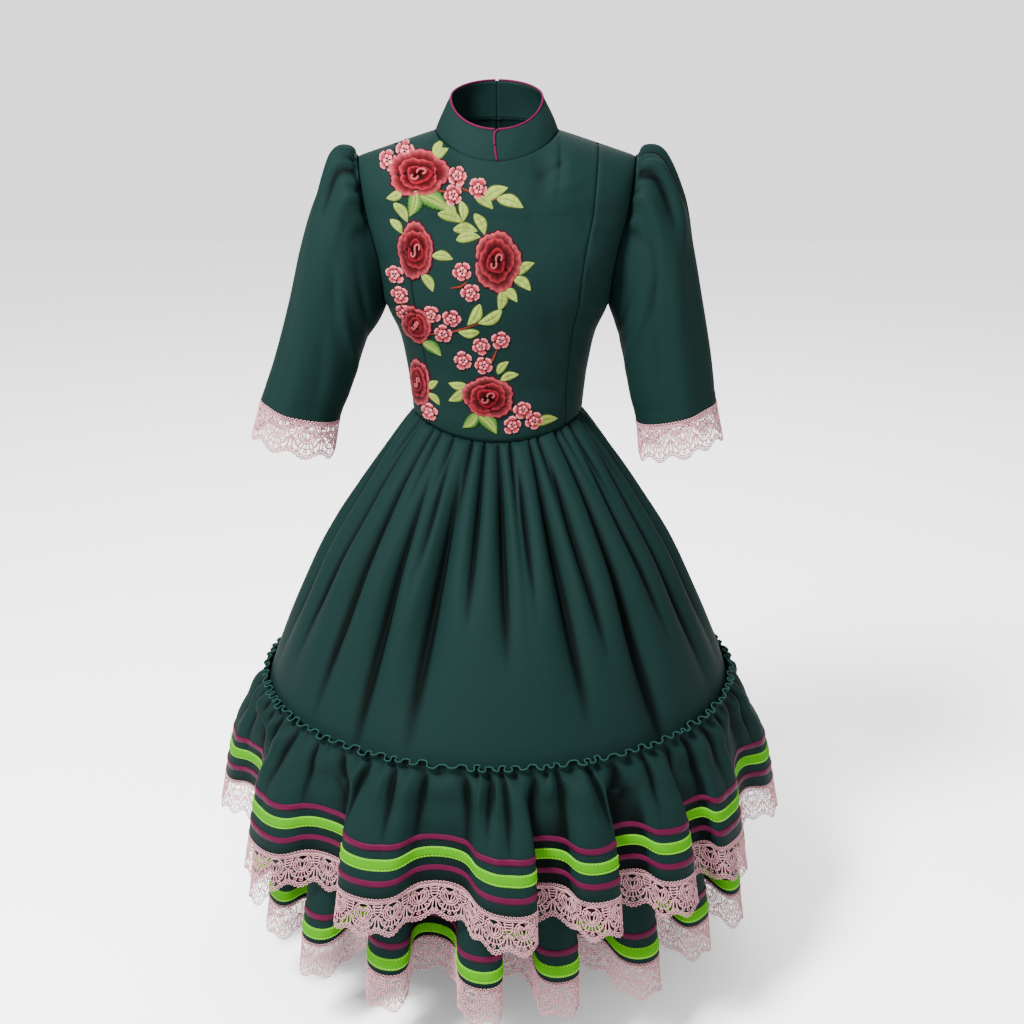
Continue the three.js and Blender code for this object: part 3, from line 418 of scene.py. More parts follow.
def flounce_points(shape, waves, angle, z, pleated=False):
    """Points of a flounce's face for angles round the body and levels below the seam."""
    phase, depth, lean = wave_at(waves, angle)
    wave = profile(shape, "wave", z) * depth
    dip = profile(shape, "dip", z) * depth
    radius = profile(shape, "radius", z)
    out = radius + wave * np.cos(phase)
    room = radius / len(waves)
    aside = np.minimum(0.5 * wave, 0.52 * room) * np.sin(2 * phase) + 0.42 * lean * wave * np.cos(phase)
    fall = z - dip * np.cos(phase)
    if pleated:
        small, size = pleat_at(angle)
        below = np.clip(SEAM_Z - z, 0, None)
        fine = 2.4 * np.exp(-((below / 14.0) ** 2)) * (z <= SEAM_Z)
        cone = 8.0 * smooth(below / 16.0) * np.exp(-((below / (44 + 34 * size)) ** 2))
        round_top = 2 * np.abs(np.cos(small / 4 + 0.4 + 0.002 * below)) - 0.1
        round_top = round_top - 1.17 * smooth((below - 22) / 30)
        out = out + fine * size * np.cos(small) + cone * size * round_top
        aside = aside - 0.12 * cone * np.sin(small / 2 + 0.8)
        out = np.maximum(out, mix(CLEAR_OF_SKIRT, CLEAR_OF_LOWER, smooth((below - 18) / 24)))
        stand = smooth((z - SEAM_Z) / 10.0)
        out = out + stand * (0.4 + 5.0 * size * np.cos(small) + 1.2 * np.sin(0.37 * small))
        aside = aside + stand * 2.3 * size**2 * np.sin(2 * small)
        fall = fall - stand * (1.2 + 1.8 * size * np.cos(small) + 1.2 * np.cos(0.61 * small))
    a = angle + aside / out
    return np.stack([out * np.sin(a), -out * np.cos(a), fall + 0 * out], axis=-1)


def upper_points(angle, z):
    return flounce_points(UPPER_SHAPE, UPPER_WAVES, angle, z, True)


def lower_points(angle, z):
    return flounce_points(LOWER_SHAPE, LOWER_WAVES, angle, z)


UPPER_COLUMNS = 620
LOWER_COLUMNS = 340
heading_levels = np.linspace(HEADING_Z, SEAM_Z, 5)
pleat_levels = [*np.linspace(-841, -880, 8), *np.linspace(-888, -912, 3)]
upper_levels = np.concatenate([heading_levels, pleat_levels, [-930, -955, -980, UPPER_HEM_Z]])
lower_levels = np.linspace(-880.5, LOWER_HEM_Z, 13)
TIERS = {
    # face, heights of its points, columns, flat size
    "upper": (upper_points, upper_levels, UPPER_COLUMNS, (1.60, 0.20)),
    "lower": (lower_points, lower_levels, LOWER_COLUMNS, (1.60, 0.27)),
}
for half, start in HALVES.items():
    for tier, (surface, levels, columns, flat) in TIERS.items():
        angle = np.radians(np.linspace(start + 0.02, start + 179.98, columns))[:, None]
        strip = cloth_sheet(tier + "_flounce_strip_" + half, surface(angle, levels[None, :]), green_cloth)
        flounce = tier + "_flounce_" + half
        finish_cloth(strip, flounce)

# Satin ribbons are stitched round each flounce: narrow plum ones, slightly puckered, and a
# broad lime one that lies flat. Heights are in millimetres above the flounce's hem.
RIBBONS = {
    "upper_ribbon_plum_high": (68, 9, "plum"),
    "upper_ribbon_lime": (41, 16, "lime"),
    "upper_ribbon_plum_low": (19, 9, "plum"),
    "lower_ribbon_plum": (38, 9, "plum"),
    "lower_ribbon_lime": (10, 16, "lime"),
}


def satin(name, colour, edge_colour, roughness, wide):
    """A ribbon satin whose fine ribs run along it, with a slightly different woven edge."""
    values = {"Roughness": roughness, "Specular IOR Level": 0.04, "Anisotropic": 0.4}
    material, tree, shader = new_material(name, values)
    place = add_node(tree, "ShaderNodeUVMap", uv_map="cloth").outputs["UV"]
    apart = add_node(tree, "ShaderNodeSeparateXYZ", feeds={0: place}).outputs["Y"]
    middle = add_node(tree, "ShaderNodeMath", {1: wide / 2}, {0: apart}, operation="ADD").outputs[0]
    away = add_node(tree, "ShaderNodeMath", feeds={0: middle}, operation="ABSOLUTE").outputs[0]
    band = {"From Min": wide / 2 - 0.0016, "From Max": wide / 2 - 0.0009}
    edge = add_node(tree, "ShaderNodeMapRange", band, {"Value": away}).outputs["Result"]
    mottle = add_node(tree, "ShaderNodeTexNoise", {"Scale": 90}, {"Vector": place}).outputs["Fac"]
    shades = {"A": [0.78 * c for c in colour[:3]] + [1], "B": colour}
    shade = add_node(tree, "ShaderNodeMix", shades, {"Factor": mottle}, data_type="RGBA")
    feeds = {"Factor": edge, "A": shade.outputs["Result"]}
    both = add_node(tree, "ShaderNodeMix", {"B": edge_colour}, feeds, data_type="RGBA")
    tree.links.new(both.outputs["Result"], shader.inputs["Base Color"])
    wave = {"Scale": 420, "Distortion": 0.4}
    ribs = add_node(tree, "ShaderNodeTexWave", wave, {"Vector": place}, bands_direction="X")
    add_bump(tree, shader, ribs.outputs["Fac"], 0.0002, 0.25)
    return material


RIBBON_LOOKS = {
    "plum": satin("plum_satin", (0.042, 0.0012, 0.0140, 1), (0.022, 0.0008, 0.008, 1), 0.5, 0.009),
    "lime": satin("lime_satin", (0.027, 0.135, 0.0, 1), (0.06, 0.20, 0.003, 1), 0.8, 0.016),
}


def under_ribbon(name):
    """The face that a ribbon lies on and the height of its hem."""
    return (upper_points, UPPER_HEM_Z) if name.startswith("upper") else (lower_points, LOWER_HEM_Z)


RIBBON_COLUMNS = 900
RIBBON_CUT = 3.5
NARROWEST_CUT = 10
ribbon_angle = np.radians(np.linspace(-90, 270, RIBBON_COLUMNS))[:, None]
for name, (foot, wide, kind) in RIBBONS.items():
    surface, hem = under_ribbon(name)
    z = hem + foot + wide - wide * np.array([0.0, 0.04, 0.34, 0.67, 1.0])[None, :] + 0 * ribbon_angle
    rng = np.random.default_rng(len(name))
    if kind == "plum":
        wobble = np.cumsum(rng.normal(0, 1, len(ribbon_angle)))
        wobble = np.convolve(wobble - wobble.mean(), np.ones(9) / 9, "same")
        z = z + np.clip(0.35 * (wobble - np.convolve(wobble, np.ones(61) / 61, "same")), -0.7, 0.7)[:, None]
    face = surface(ribbon_angle, z)
    lift = np.array([-0.25, 0.75, 1.15, 1.15, 0.75])[None, :, None]
    if kind == "plum":
        pucker = rng.normal(0, 1, (len(ribbon_angle), 1, 1))
        lift = lift + np.array([0, 0.0, 0.3, 0.3, 0.0])[None, :, None] * np.clip(pucker, -1, 1.6)
    points = face + outward_ways(face) * lift
    points[-1] = points[0]
    band = cloth_sheet(name + "_band", points, RIBBON_LOOKS[kind], 0.35)
    flat = (RIBBON_CUT, max(wide, NARROWEST_CUT) * MM)
    finish_cloth(band, name)


def stitch_tree():
    """Sews a row of padded stitches along a line of points."""
    tree = bpy.data.node_groups.new("row of stitches", "GeometryNodeTree")
    tree.interface.new_socket("Line", in_out="INPUT", socket_type="NodeSocketGeometry")
    for label, start in [("Spacing", 0.004), ("Stitch length", 0.0026), ("Thread thickness", 0.0007)]:
        socket = tree.interface.new_socket(label, in_out="INPUT", socket_type="NodeSocketFloat")
        socket.default_value = start
    tree.interface.new_socket("Thread", in_out="INPUT", socket_type="NodeSocketMaterial")
    tree.interface.new_socket("Stitches", in_out="OUTPUT", socket_type="NodeSocketGeometry")
    given = add_node(tree, "NodeGroupInput").outputs
    line = add_node(tree, "GeometryNodeMeshToCurve", feeds={"Mesh": given["Line"]}).outputs["Curve"]
    spaced = {"Curve": line, "Length": given["Spacing"]}
    places = add_node(tree, "GeometryNodeCurveToPoints", feeds=spaced, mode="LENGTH").outputs
    bead = add_node(tree, "GeometryNodeMeshIcoSphere", {"Subdivisions": 1, "Radius": 0.5}).outputs["Mesh"]
    sizes = {"X": given["Thread thickness"], "Y": given["Thread thickness"], "Z": given["Stitch length"]}
    shape = add_node(tree, "ShaderNodeCombineXYZ", feeds=sizes).outputs["Vector"]
    sewn = {"Points": places["Points"], "Instance": bead, "Rotation": places["Rotation"], "Scale": shape}
    stitches = add_node(tree, "GeometryNodeInstanceOnPoints", feeds=sewn).outputs["Instances"]
    real = add_node(tree, "GeometryNodeRealizeInstances", feeds={"Geometry": stitches}).outputs["Geometry"]
    painted = add_node(tree, "GeometryNodeSetMaterial", feeds={"Geometry": real, "Material": given["Thread"]})
    add_node(tree, "NodeGroupOutput", feeds={"Stitches": painted.outputs["Geometry"]})
    return tree


row_of_stitches = stitch_tree()
LIME_STITCH = {"Spacing": 0.0050, "Stitch length": 0.0034, "Thread thickness": 0.0011}


def stitch_rows(name, lines, thread):
    """Stitches along lines of points in millimetres, as one plain piece."""
    points = np.concatenate(lines) * MM
    edges, start = [], 0
    for line in lines:
        edges += [(start + i, start + i + 1) for i in range(len(line) - 1)]
        start += len(line)
    mesh = bpy.data.meshes.new(name + "_line")
    mesh.from_pydata(points.tolist(), edges, [])
    piece = bpy.data.objects.new(name, mesh)
    bpy.context.scene.collection.objects.link(piece)
    sewing = piece.modifiers.new("sewing", "NODES")
    sewing.node_group = row_of_stitches
    values = {**LIME_STITCH, "Thread": thread}
    for item in row_of_stitches.interface.items_tree:
        if item.in_out == "INPUT" and item.name in values:
            sewing[item.identifier] = values[item.name]
    seen = bpy.context.evaluated_depsgraph_get()
    piece.data = bpy.data.meshes.new_from_object(piece.evaluated_get(seen))
    piece.modifiers.clear()
    if not piece.data.materials:
        piece.data.materials.append(thread)
    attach(piece, "root")
    return piece


# Pale stitches hold the lime ribbons down along both edges.
lime_thread = twill_cloth("lime_thread", (0.10, 0.25, 0.012, 1), (0.18, 0.36, 0.03, 1), 0.6, 2400.0)
for name, (foot, wide, kind) in RIBBONS.items():
    if kind != "lime":
        continue
    surface, hem = under_ribbon(name)
    rows = []
    for share in (0.11, 0.89):
        z = hem + foot + wide * (share + np.array([0.1, 0.0, -0.1])[None, :]) + 0 * ribbon_angle
        face = surface(ribbon_angle, z)
        rows.append((face + outward_ways(face) * 1.2)[:, 1])
    stitch_rows(name + "_stitches", rows, lime_thread)

# The bodice: five panels of crepe. The front centre lies between two princess seams, a side
# panel is on each side of it, and two back panels meet at the centre back.
BODICE = {
    "z": [-37, -77, -120, -173, -215, -251, -290, -343, -390, -441],
    "half": [199, 193, 185, 172, 166, 163, 146, 135, 129, 125],
    "front": [88, 100, 112, 126, 130, 126, 117, 108, 103, 101],
    "back": [84, 96, 103, 106, 104, 100, 94, 88, 86, 86],
    "princess": [145, 138, 131, 124, 119, 114, 109, 103, 102, 102],
}
ARMHOLE_MIDDLE = -144
ARMHOLE_TALL = 107
ARMHOLE_DEEP = 46
NECK_WIDE = 88
NECK_DEEP = (76, 66)  # in front, behind
NECK_LEVEL = (-36, 10)
CHEST_Z = -110
SHOULDER_TIP_Z = -37
SHOULDER_TIP = 199
SEAM_WIDTH = 2.2
CHEST_HALF = float(profile(BODICE, "half", CHEST_Z))
PRINCESS_AT_SHOULDER = 145


def torso_y(x, z, side):
    """Depth of the bodice's face; side is -1 in front and 1 behind."""
    half = profile(BODICE, "half", z)
    middle = profile(BODICE, "front" if side < 0 else "back", z)
    edge = ARMHOLE_DEEP * np.sqrt(np.clip(1 - ((z - ARMHOLE_MIDDLE) / ARMHOLE_TALL) ** 2, 0, 1))
    share = np.clip(np.abs(x) / half, 0, 1)
    return side * (edge + (middle - edge) * np.sqrt(np.clip(1 - share**2.2, 0, 1)))


def top_edge(x, side):
    """Depth and height of the neckline and shoulder seam over a place across the body."""
    a = np.abs(x)
    round_neck = np.sqrt(np.clip(1 - (a / NECK_WIDE) ** 2, 0, 1))
    outside = a >= NECK_WIDE
    slope = SHOULDER_TIP_Z * (a - NECK_WIDE) / (SHOULDER_TIP - NECK_WIDE)
    half = 0 if side < 0 else 1
    y = np.where(outside, 0, side * round_neck * NECK_DEEP[half])
    z = np.where(outside, slope, NECK_LEVEL[half] * round_neck**1.6)
    return y, z


def bodice_points(across, up, side):
    """Points of the bodice's face; up is 0 at the waist, 1 at the chest and 2 at the top."""
    across, up = np.broadcast_arrays(np.asarray(across, float), np.asarray(up, float))
    turn = np.arcsin(np.clip(np.abs(across), 0, 1))
    foot = waist_z(turn if side < 0 else np.pi - turn)
    low_z = mix(foot, CHEST_Z, np.clip(up, 0, 1))
    low_x = across * profile(BODICE, "half", low_z)
    low = np.stack([low_x, torso_y(low_x, low_z, side), low_z], axis=-1)
    t = np.clip(up - 1, 0, 1)
    top_y, top_z = top_edge(across * SHOULDER_TIP, side)
    chest_x = across * CHEST_HALF
    chest_y = torso_y(chest_x, CHEST_Z + 0 * chest_x, side)
    near_neck = smooth((NECK_WIDE + 20 - np.abs(across) * SHOULDER_TIP) / 60)
    roll = mix(1 - np.sqrt(np.clip(1 - t * t, 0, 1)), t**1.4, near_neck)
    high_x = across * mix(CHEST_HALF, SHOULDER_TIP, t)
    high = np.stack([high_x, mix(chest_y, top_y, roll), mix(CHEST_Z, top_z, t)], axis=-1)
    return np.where((up <= 1)[..., None], low, high)


def across_at(place, up, side):
    """Place across the body of a line that runs down from a place on the shoulder seam."""
    place, up = np.broadcast_arrays(np.asarray(place, float), np.asarray(up, float))
    z = mix(WAIST_SIDE_Z, CHEST_Z, np.clip(up, 0, 1))
    seam = profile(BODICE, "princess", z) / profile(BODICE, "half", z)
    seam_at_tip = PRINCESS_AT_SHOULDER / SHOULDER_TIP
    share = np.abs(place) / SHOULDER_TIP
    bent = np.where(
        share < seam_at_tip,
        share / seam_at_tip * seam,
        mix(seam, 1, (share - seam_at_tip) / (1 - seam_at_tip)),
    )
    if side > 0:
        bent = share
    return np.sign(place) * np.where(up > 1, share, mix(share, bent, smooth((1 - up) / 0.3)))


# Creases pressed or pulled into the bodice: a line from one place to another on the front,
# its depth and its width. A depth below zero is a hollow.
FRONT_CREASES = [
    (-40, -66, -92, -52, -1.6, 5), (52, -62, 96, -40, -2.2, 6), (64, -80, 120, -62, 1.4, 7),
    (-66, -98, -120, -120, 1.3, 9), (110, -120, 176, -150, -2.0, 9), (118, -148, 168, -186, 1.7, 9),
    (112, -176, 156, -232, -1.7, 10), (-120, -150, -172, -184, -1.7, 9), (20, -300, 92, -330, 1.2, 14),
    (-96, -326, -30, -352, -1.2, 13), (36, -352, 100, -366, -1.5, 10), (44, -382, 104, -396, 1.6, 8),
    (-110, -398, -40, -412, 1.4, 9), (-30, -404, 40, -414, -1.2, 8), (6, -120, 10, -210, 0.9, 22),
    (60, -200, 84, -292, -1.3, 15), (-58, -206, -80, -282, 1.1, 15), (40, -96, 58, -160, -1.1, 15),
    (92, -240, 104, -330, 1.2, 9), (112, -300, 130, -360, -1.6, 9), (-126, -300, -108, -372, -1.5, 9),
]
BACK_CREASES = [
    (20, -60, 104, -44, -1.6, 8), (-24, -64, -110, -46, -1.4, 8), (60, -120, 168, -150, -1.8, 12),
    (-70, -124, -170, -160, -1.7, 12), (40, -190, 60, -300, 1.3, 16), (-46, -180, -60, -310, 1.2, 16),
    (30, -360, 110, -376, -1.7, 9), (-34, -366, -112, -380, 1.5, 10), (24, -394, 96, -404, 1.4, 8),
    (-20, -398, -90, -410, -1.3, 8), (90, -240, 130, -330, -1.5, 12), (-96, -250, -128, -334, 1.4, 12),
]


def crease_lift(points, creases):
    """How far the creases lift or sink the cloth at each point."""
    x, z = points[..., 0], points[..., 2]
    lift = np.zeros_like(x)
    for x0, z0, x1, z1, depth, width in creases:
        dx, dz = x1 - x0, z1 - z0
        length = math.hypot(dx, dz)
        along = ((x - x0) * dx + (z - z0) * dz) / length**2
        aside = ((x - x0) * dz - (z - z0) * dx) / length
        inside = smooth((along + 0.15) / 0.4) * smooth((1.15 - along) / 0.4)
        lift = lift + depth * inside * np.exp(-((aside / width) ** 2))
    return lift


def seam_dip(distance, depth):
    """The fine valley that a seam pulls into the cloth."""
    return -depth * np.exp(-((distance / SEAM_WIDTH) ** 2))


BODICE_PANELS = {
    # first and last place on the shoulder line, side, columns, rows, flat size and area
    "front_centre": (-PRINCESS_AT_SHOULDER, PRINCESS_AT_SHOULDER, -1, 84, 92, (0.32, 0.42), 0.105),
    "front_side_left": (PRINCESS_AT_SHOULDER, SHOULDER_TIP, -1, 34, 96, (0.14, 0.42), 0.034),
    "front_side_right": (-SHOULDER_TIP, -PRINCESS_AT_SHOULDER, -1, 34, 96, (0.14, 0.42), 0.034),
    "back_left": (SHOULDER_TIP, 0, 1, 58, 80, (0.26, 0.45), 0.085),
    "back_right": (0, -SHOULDER_TIP, 1, 58, 80, (0.26, 0.45), 0.085),
}
front_grids = []
for name, (first, last, side, columns, rows, flat, area) in BODICE_PANELS.items():
    even = np.linspace(0, 1, columns)
    if abs(last) == SHOULDER_TIP:
        even = np.sin(even * np.pi / 2)
    if abs(first) == SHOULDER_TIP:
        even = 1 - np.cos(even * np.pi / 2)
    place = mix(first, last, even)[:, None]
    up = np.linspace(2, 0, rows)[None, :]
    points = bodice_points(across_at(place, up, side), up, side)
    way = outward_ways(points)
    lift = crease_lift(points, FRONT_CREASES if side < 0 else BACK_CREASES)
    girth = steps(points, 0)
    seam_edges = np.minimum(girth, girth[-1:] - girth)
    length = steps(points, 1)
    end_edges = np.minimum(length, length[:, -1:] - length)
    lift = lift * smooth(seam_edges / 14) * smooth(end_edges / 10)
    lift = lift + seam_dip(seam_edges, 1.7) + seam_dip(end_edges, 1.4)
    points = points + way * lift[..., None]
    if side < 0:
        front_grids.append(points)
    name = "bodice_" + name
    panel = cloth_sheet(name + "_panel", points, green_cloth)
    finish_cloth(panel, name)

# The sleeves: each one piece with a seam under the arm, puffed a little at the cap where it is
# gathered into the armhole, and flared towards the elbow.
SLEEVES = {
    # rows down the arm: outer edge x and z, inner edge x and z, depth, how far forward
    "right": {
        "side": -1,
        "rows": [
            (229, -34, 164.5, -256, 58, 0), (262, -92, 174, -276, 70, 3), (285, -161, 192, -303, 72, 6),
            (307, -248, 207, -343, 68, 10), (333, -335, 223, -386, 64, 14), (355, -395, 238, -426, 62, 16),
            (377, -462, 247, -492, 66, 17),
        ],
        # folds: turn round the arm, share down it, length, width in degrees, depth, lean
        "folds": [
            (62, 0.10, 0.11, 9, 6.0, 10), (40, 0.12, 0.12, 8, -5.0, 6), (22, 0.10, 0.12, 8, 5.5, 4),
            (4, 0.11, 0.12, 8, -4.5, 0), (-16, 0.10, 0.12, 8, 5.5, -4), (-38, 0.12, 0.12, 8, -4.5, -8),
            (-60, 0.10, 0.11, 9, 5.0, -10), (88, 0.30, 0.20, 12, -3.5, 26), (60, 0.50, 0.34, 12, 3.0, 16),
            (100, 0.66, 0.30, 12, -3.5, 14), (34, 0.72, 0.36, 13, -3.0, 10), (128, 0.42, 0.16, 12, 3.6, 34),
            (140, 0.24, 0.10, 12, -4.0, 30), (-90, 0.46, 0.30, 14, -3.5, -16),
            (-128, 0.30, 0.14, 13, -4.0, -30), (160, 0.62, 0.26, 14, 3.0, 12),
            (-140, 0.66, 0.28, 14, 3.0, -12), (76, 0.88, 0.20, 12, 2.6, 6),
        ],
    },
    "left": {
        "side": 1,
        "rows": [
            (231, -37, 164.5, -256, 58, 0), (270, -94, 172, -276, 70, 3), (286, -165, 180, -303, 72, 6),
            (302, -245, 189, -343, 68, 10), (317, -325, 199, -389, 64, 14), (328, -397, 209, -430, 62, 16),
            (343, -460, 214, -494, 66, 17),
        ],
        "folds": [
            (66, 0.11, 0.12, 9, 6.5, 12), (47, 0.12, 0.13, 8, -5.5, 8), (30, 0.12, 0.14, 8, 6.5, 6),
            (12, 0.11, 0.13, 8, -5.5, 2), (-6, 0.10, 0.12, 8, 5.5, -2), (-26, 0.12, 0.12, 8, -4.5, -6),
            (-48, 0.10, 0.11, 9, 5.0, -8), (92, 0.26, 0.18, 12, -4.0, 24), (70, 0.46, 0.30, 12, 3.4, 14),
            (108, 0.60, 0.30, 12, -3.6, 14), (44, 0.70, 0.36, 13, -3.2, 8), (130, 0.40, 0.16, 12, 3.4, 32),
            (142, 0.22, 0.10, 12, -4.0, 30), (-90, 0.44, 0.30, 14, -3.5, -16),
            (-130, 0.32, 0.14, 13, -4.0, -30), (158, 0.64, 0.26, 14, 3.0, 12),
            (-142, 0.62, 0.28, 14, 3.0, -12), (80, 0.86, 0.22, 12, 2.8, 6),
        ],
    },
}
CAP_GATHERS = 15
SLEEVE_KNOTS = np.array([0, 0.07, 0.2, 0.36, 0.57, 0.785, 0.93, 1.08])
SLEEVE_HEM = 0.93


def armhole_points(turn):
    """Points of the armhole's seam, where a sleeve starts."""
    z = ARMHOLE_MIDDLE + ARMHOLE_TALL * np.cos(turn)
    above = (z - CHEST_Z) / (SHOULDER_TIP_Z - CHEST_Z)
    below = (z - WAIST_SIDE_Z) / (CHEST_Z - WAIST_SIDE_Z)
    up = np.clip(np.where(z > CHEST_Z, 1 + above, below), 0, 2)
    edge = 1 + 0 * turn
    in_front = (np.sin(turn) >= 0)[..., None]
    points = np.where(in_front, bodice_points(edge, up, -1), bodice_points(edge, up, 1))
    points[..., 0] += 1.0
    return points


def sleeve_points(sleeve, turn, share):
    """Points of a sleeve round the arm (turn, 90 degrees in front) and down its length."""
    rings = [armhole_points(turn)]
    for out_x, out_z, in_x, in_z, deep, forward in sleeve["rows"]:
        c = np.cos(turn)
        x = (out_x + in_x) / 2 + (out_x - in_x) / 2 * c
        z = (out_z + in_z) / 2 + (out_z - in_z) / 2 * c
        rings.append(np.stack([x, -deep * np.sin(turn) - forward, z], axis=-1))
    rings = np.array(rings)[..., 0, :]
    knots = SLEEVE_KNOTS
    at = np.clip(share[0], 0, knots[-1])
    i = np.clip(np.searchsorted(knots, at) - 1, 0, len(knots) - 2)
    slope = np.diff(rings, axis=0) / np.diff(knots)[:, None, None]
    tangent = np.concatenate([slope[:1], (slope[:-1] + slope[1:]) / 2, slope[-1:]])
    gap = (knots[i + 1] - knots[i])[:, None, None]
    t = ((at - knots[i]) / gap[:, 0, 0])[:, None, None]
    return curve(rings, tangent, i, gap, t).transpose(1, 0, 2)


def sleeve_lift(sleeve, turn, share):
    """How far folds and the cap's gathers lift a sleeve's cloth."""
    degrees = np.degrees(turn)
    lift = np.zeros(np.broadcast(turn, share).shape)
    for centre, middle, length, width, depth, lean in sleeve["folds"]:
        across = (degrees - centre - lean * (share - middle) / length + 180) % 360 - 180
        lift = lift + depth * np.exp(-((across / width) ** 2)) * np.exp(-(((share - middle) / length) ** 2))
    cap = smooth(np.cos(turn) / 0.35)
    gathers = np.cos(turn * CAP_GATHERS * 1.5) + 0.6 * np.cos(turn * CAP_GATHERS * 2.3 + 1)
    lift = lift + 2.8 * cap * gathers * smooth(share / 0.02) * np.exp(-((share / 0.085) ** 2))
    lift = lift + 7.0 * cap * smooth(share / 0.03) * np.exp(-(((share - 0.05) / 0.07) ** 2))
    return lift * smooth(share / 0.015)


SLEEVE_TURNS = 112
SLEEVE_STEPS = 78
for word, sleeve in SLEEVES.items():
    turn = np.radians(np.linspace(180, -180, SLEEVE_TURNS))[:, None]
    share = np.linspace(0, 1, SLEEVE_STEPS)[None, :] ** 1.25 * SLEEVE_HEM
    points = sleeve_points(sleeve, turn, share)
    way = outward_ways(points)
    points = points + way * sleeve_lift(sleeve, turn, share)[..., None]
    hem = steps(points, 1)
    hem = hem[:, -1:] - hem
    points = points - way * (0.9 * np.exp(-(((hem - 22) / 1.6) ** 2)))[..., None]
    points[..., 0] *= sleeve["side"]
    points = points[::-1] if sleeve["side"] < 0 else points
    tube = cloth_sheet("sleeve_" + word + "_tube", points, green_cloth)
    finish_cloth(tube, "sleeve_" + word)

# The stand collar: two halves of doubled crepe that meet at the back and close edge to edge
# under a small lap in front. A plum piping runs along the top edge and down the lap.
COLLAR_FOLD = [(0, 0), (0.06, 0), (0.4, -2.0), (0.72, -3.5), (0.93, -2.5), (1, 0.8)]
FOLD_POINTS = 24


def collar_points(turn, rise):
    """Points of the collar round the neck, from its foot at 0 to its top edge at 1."""
    forward = np.cos(turn)
    front = forward > 0
    foot_x = NECK_WIDE * np.sin(turn)
    foot_z = np.where(front, *NECK_LEVEL) * np.clip(1 - np.sin(turn) ** 2, 0, 1) ** 0.8 - 2.0
    foot_y = -forward * np.where(front, *NECK_DEEP)
    top_z = mix(43, np.where(front, 3, 62), np.abs(forward))
    top_y = -forward * np.where(front, 57, 60)
    bow = 1.6 * np.sin(np.pi * rise)
    x = mix(foot_x, 66 * np.sin(turn), rise) + bow * np.sin(turn)
    y = mix(foot_y, top_y, rise) - bow * forward
    return np.stack([x, y, mix(foot_z, top_z, rise)], axis=-1)


COLLAR_HALVES = {"collar_left": (0.0, 180.0), "collar_right": (-180.0, 0.0)}
for name, (first, last) in COLLAR_HALVES.items():
    turn = np.radians(np.linspace(first, last, 72))[:, None]
    rise = np.linspace(1, 0, 14)[None, :]
    points = collar_points(turn, rise)
    ripple = 0.5 * np.sin(5 * turn + 3 * rise) + 0.35 * np.sin(11 * turn - 4 * rise)
    points = points + outward_ways(points) * (ripple * rise * (1 - rise) * 3)[..., None]
    half = cloth_sheet(name + "_half", points, green_cloth, 1.6)
    finish_cloth(half, name)


def corded(name, line, radius, material, sides=8):
    """A round cord along a line of points, closed at its ends."""
    run = unit(np.gradient(line, axis=0))
    lead = np.where(np.abs(run[:, 2:]) > 0.9, [[0.0, 1.0, 0.0]], [[0.0, 0.0, 1.0]])
    first = unit(np.cross(run, lead))
    second = np.cross(run, first)
    turns = np.linspace(0, 2 * np.pi, sides, endpoint=False)[None, :, None]
    around = np.cos(turns) * first[:, None] + np.sin(turns) * second[:, None]
    rings = line[:, None] + radius * around
    index = np.arange(len(line) * sides).reshape(-1, sides)
    after = np.roll(index, -1, axis=1)
    walls = np.stack([index[:-1], after[:-1], after[1:], index[1:]], axis=-1).reshape(-1, 4)
    faces = walls.tolist() + [index[0, ::-1].tolist(), index[-1].tolist()]
    piece = make_piece(name, rings.reshape(-1, 3), faces, material)
    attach(piece, "root")
    return piece


plum_cord = twill_cloth("plum_piping", (0.030, 0.0016, 0.011, 1), (0.058, 0.0034, 0.021, 1), 0.55, 1500.0)
PIPING = 1.5
rim_turns = {"left": np.radians(np.linspace(2, 178, 90)), "right": np.radians(np.linspace(-2, -178, 90))}
for word, turn in rim_turns.items():
    outward = np.stack([np.sin(turn), -np.cos(turn), 0 * turn], axis=1)
    rim_line = collar_points(turn, np.ones_like(turn)) + [0, 0, 0.9] + outward * -0.8
    if word == "left":
        rise = np.linspace(0.03, 1.0, FOLD_POINTS)
        aside = np.interp(rise, *zip(*COLLAR_FOLD))
        in_front = np.stack([aside, np.full(FOLD_POINTS, -1.1), 0 * rise], axis=1)
        fold_line = collar_points(np.zeros(FOLD_POINTS), rise) + in_front
        rim_line = np.concatenate([fold_line, rim_line])
    piping = corded("piping_" + word, rim_line, PIPING, plum_cord)
    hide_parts("collar_piping_" + word)

# The flounce's heading is overlocked: a paler green thread wraps its wavy top edge.
HEADING_POINTS = 1900
pale_thread = twill_cloth("overlock_thread", (0.005, 0.019, 0.016, 1), (0.009, 0.030, 0.025, 1), 0.7, 2200.0)
heading_turn = np.radians(np.linspace(0, 360, HEADING_POINTS))
heading_line = upper_points(heading_turn, np.full(HEADING_POINTS, float(HEADING_Z))) + [0, 0, 0.3]
heading_line = heading_line - [[0.5 * math.sin(a), -0.5 * math.cos(a), 0] for a in heading_turn]
overlock = corded("heading_overlock", heading_line, 0.95, pale_thread, 6)

# The lace edging: a dusty pink guipure about 60 mm deep. Every 43 mm it repeats a heart in a
# ring, a ladder, a fan below the ladder, and small rings along the top and the scallops.
REPEAT = 43.0
HEART_V = 18.0
THREAD_HEIGHT = 0.8
HEM_THREAD = 1.02
CUFF_THREAD = 1.3


def ring(u, v, radius, half, sides=5):
    turns = np.linspace(0, 2 * np.pi, sides, endpoint=False) + 0.4
    return np.stack([u + radius * np.cos(turns), v + radius * np.sin(turns)], axis=1), half, True


def bar(half, *points):
    return np.array(points, float), half, False


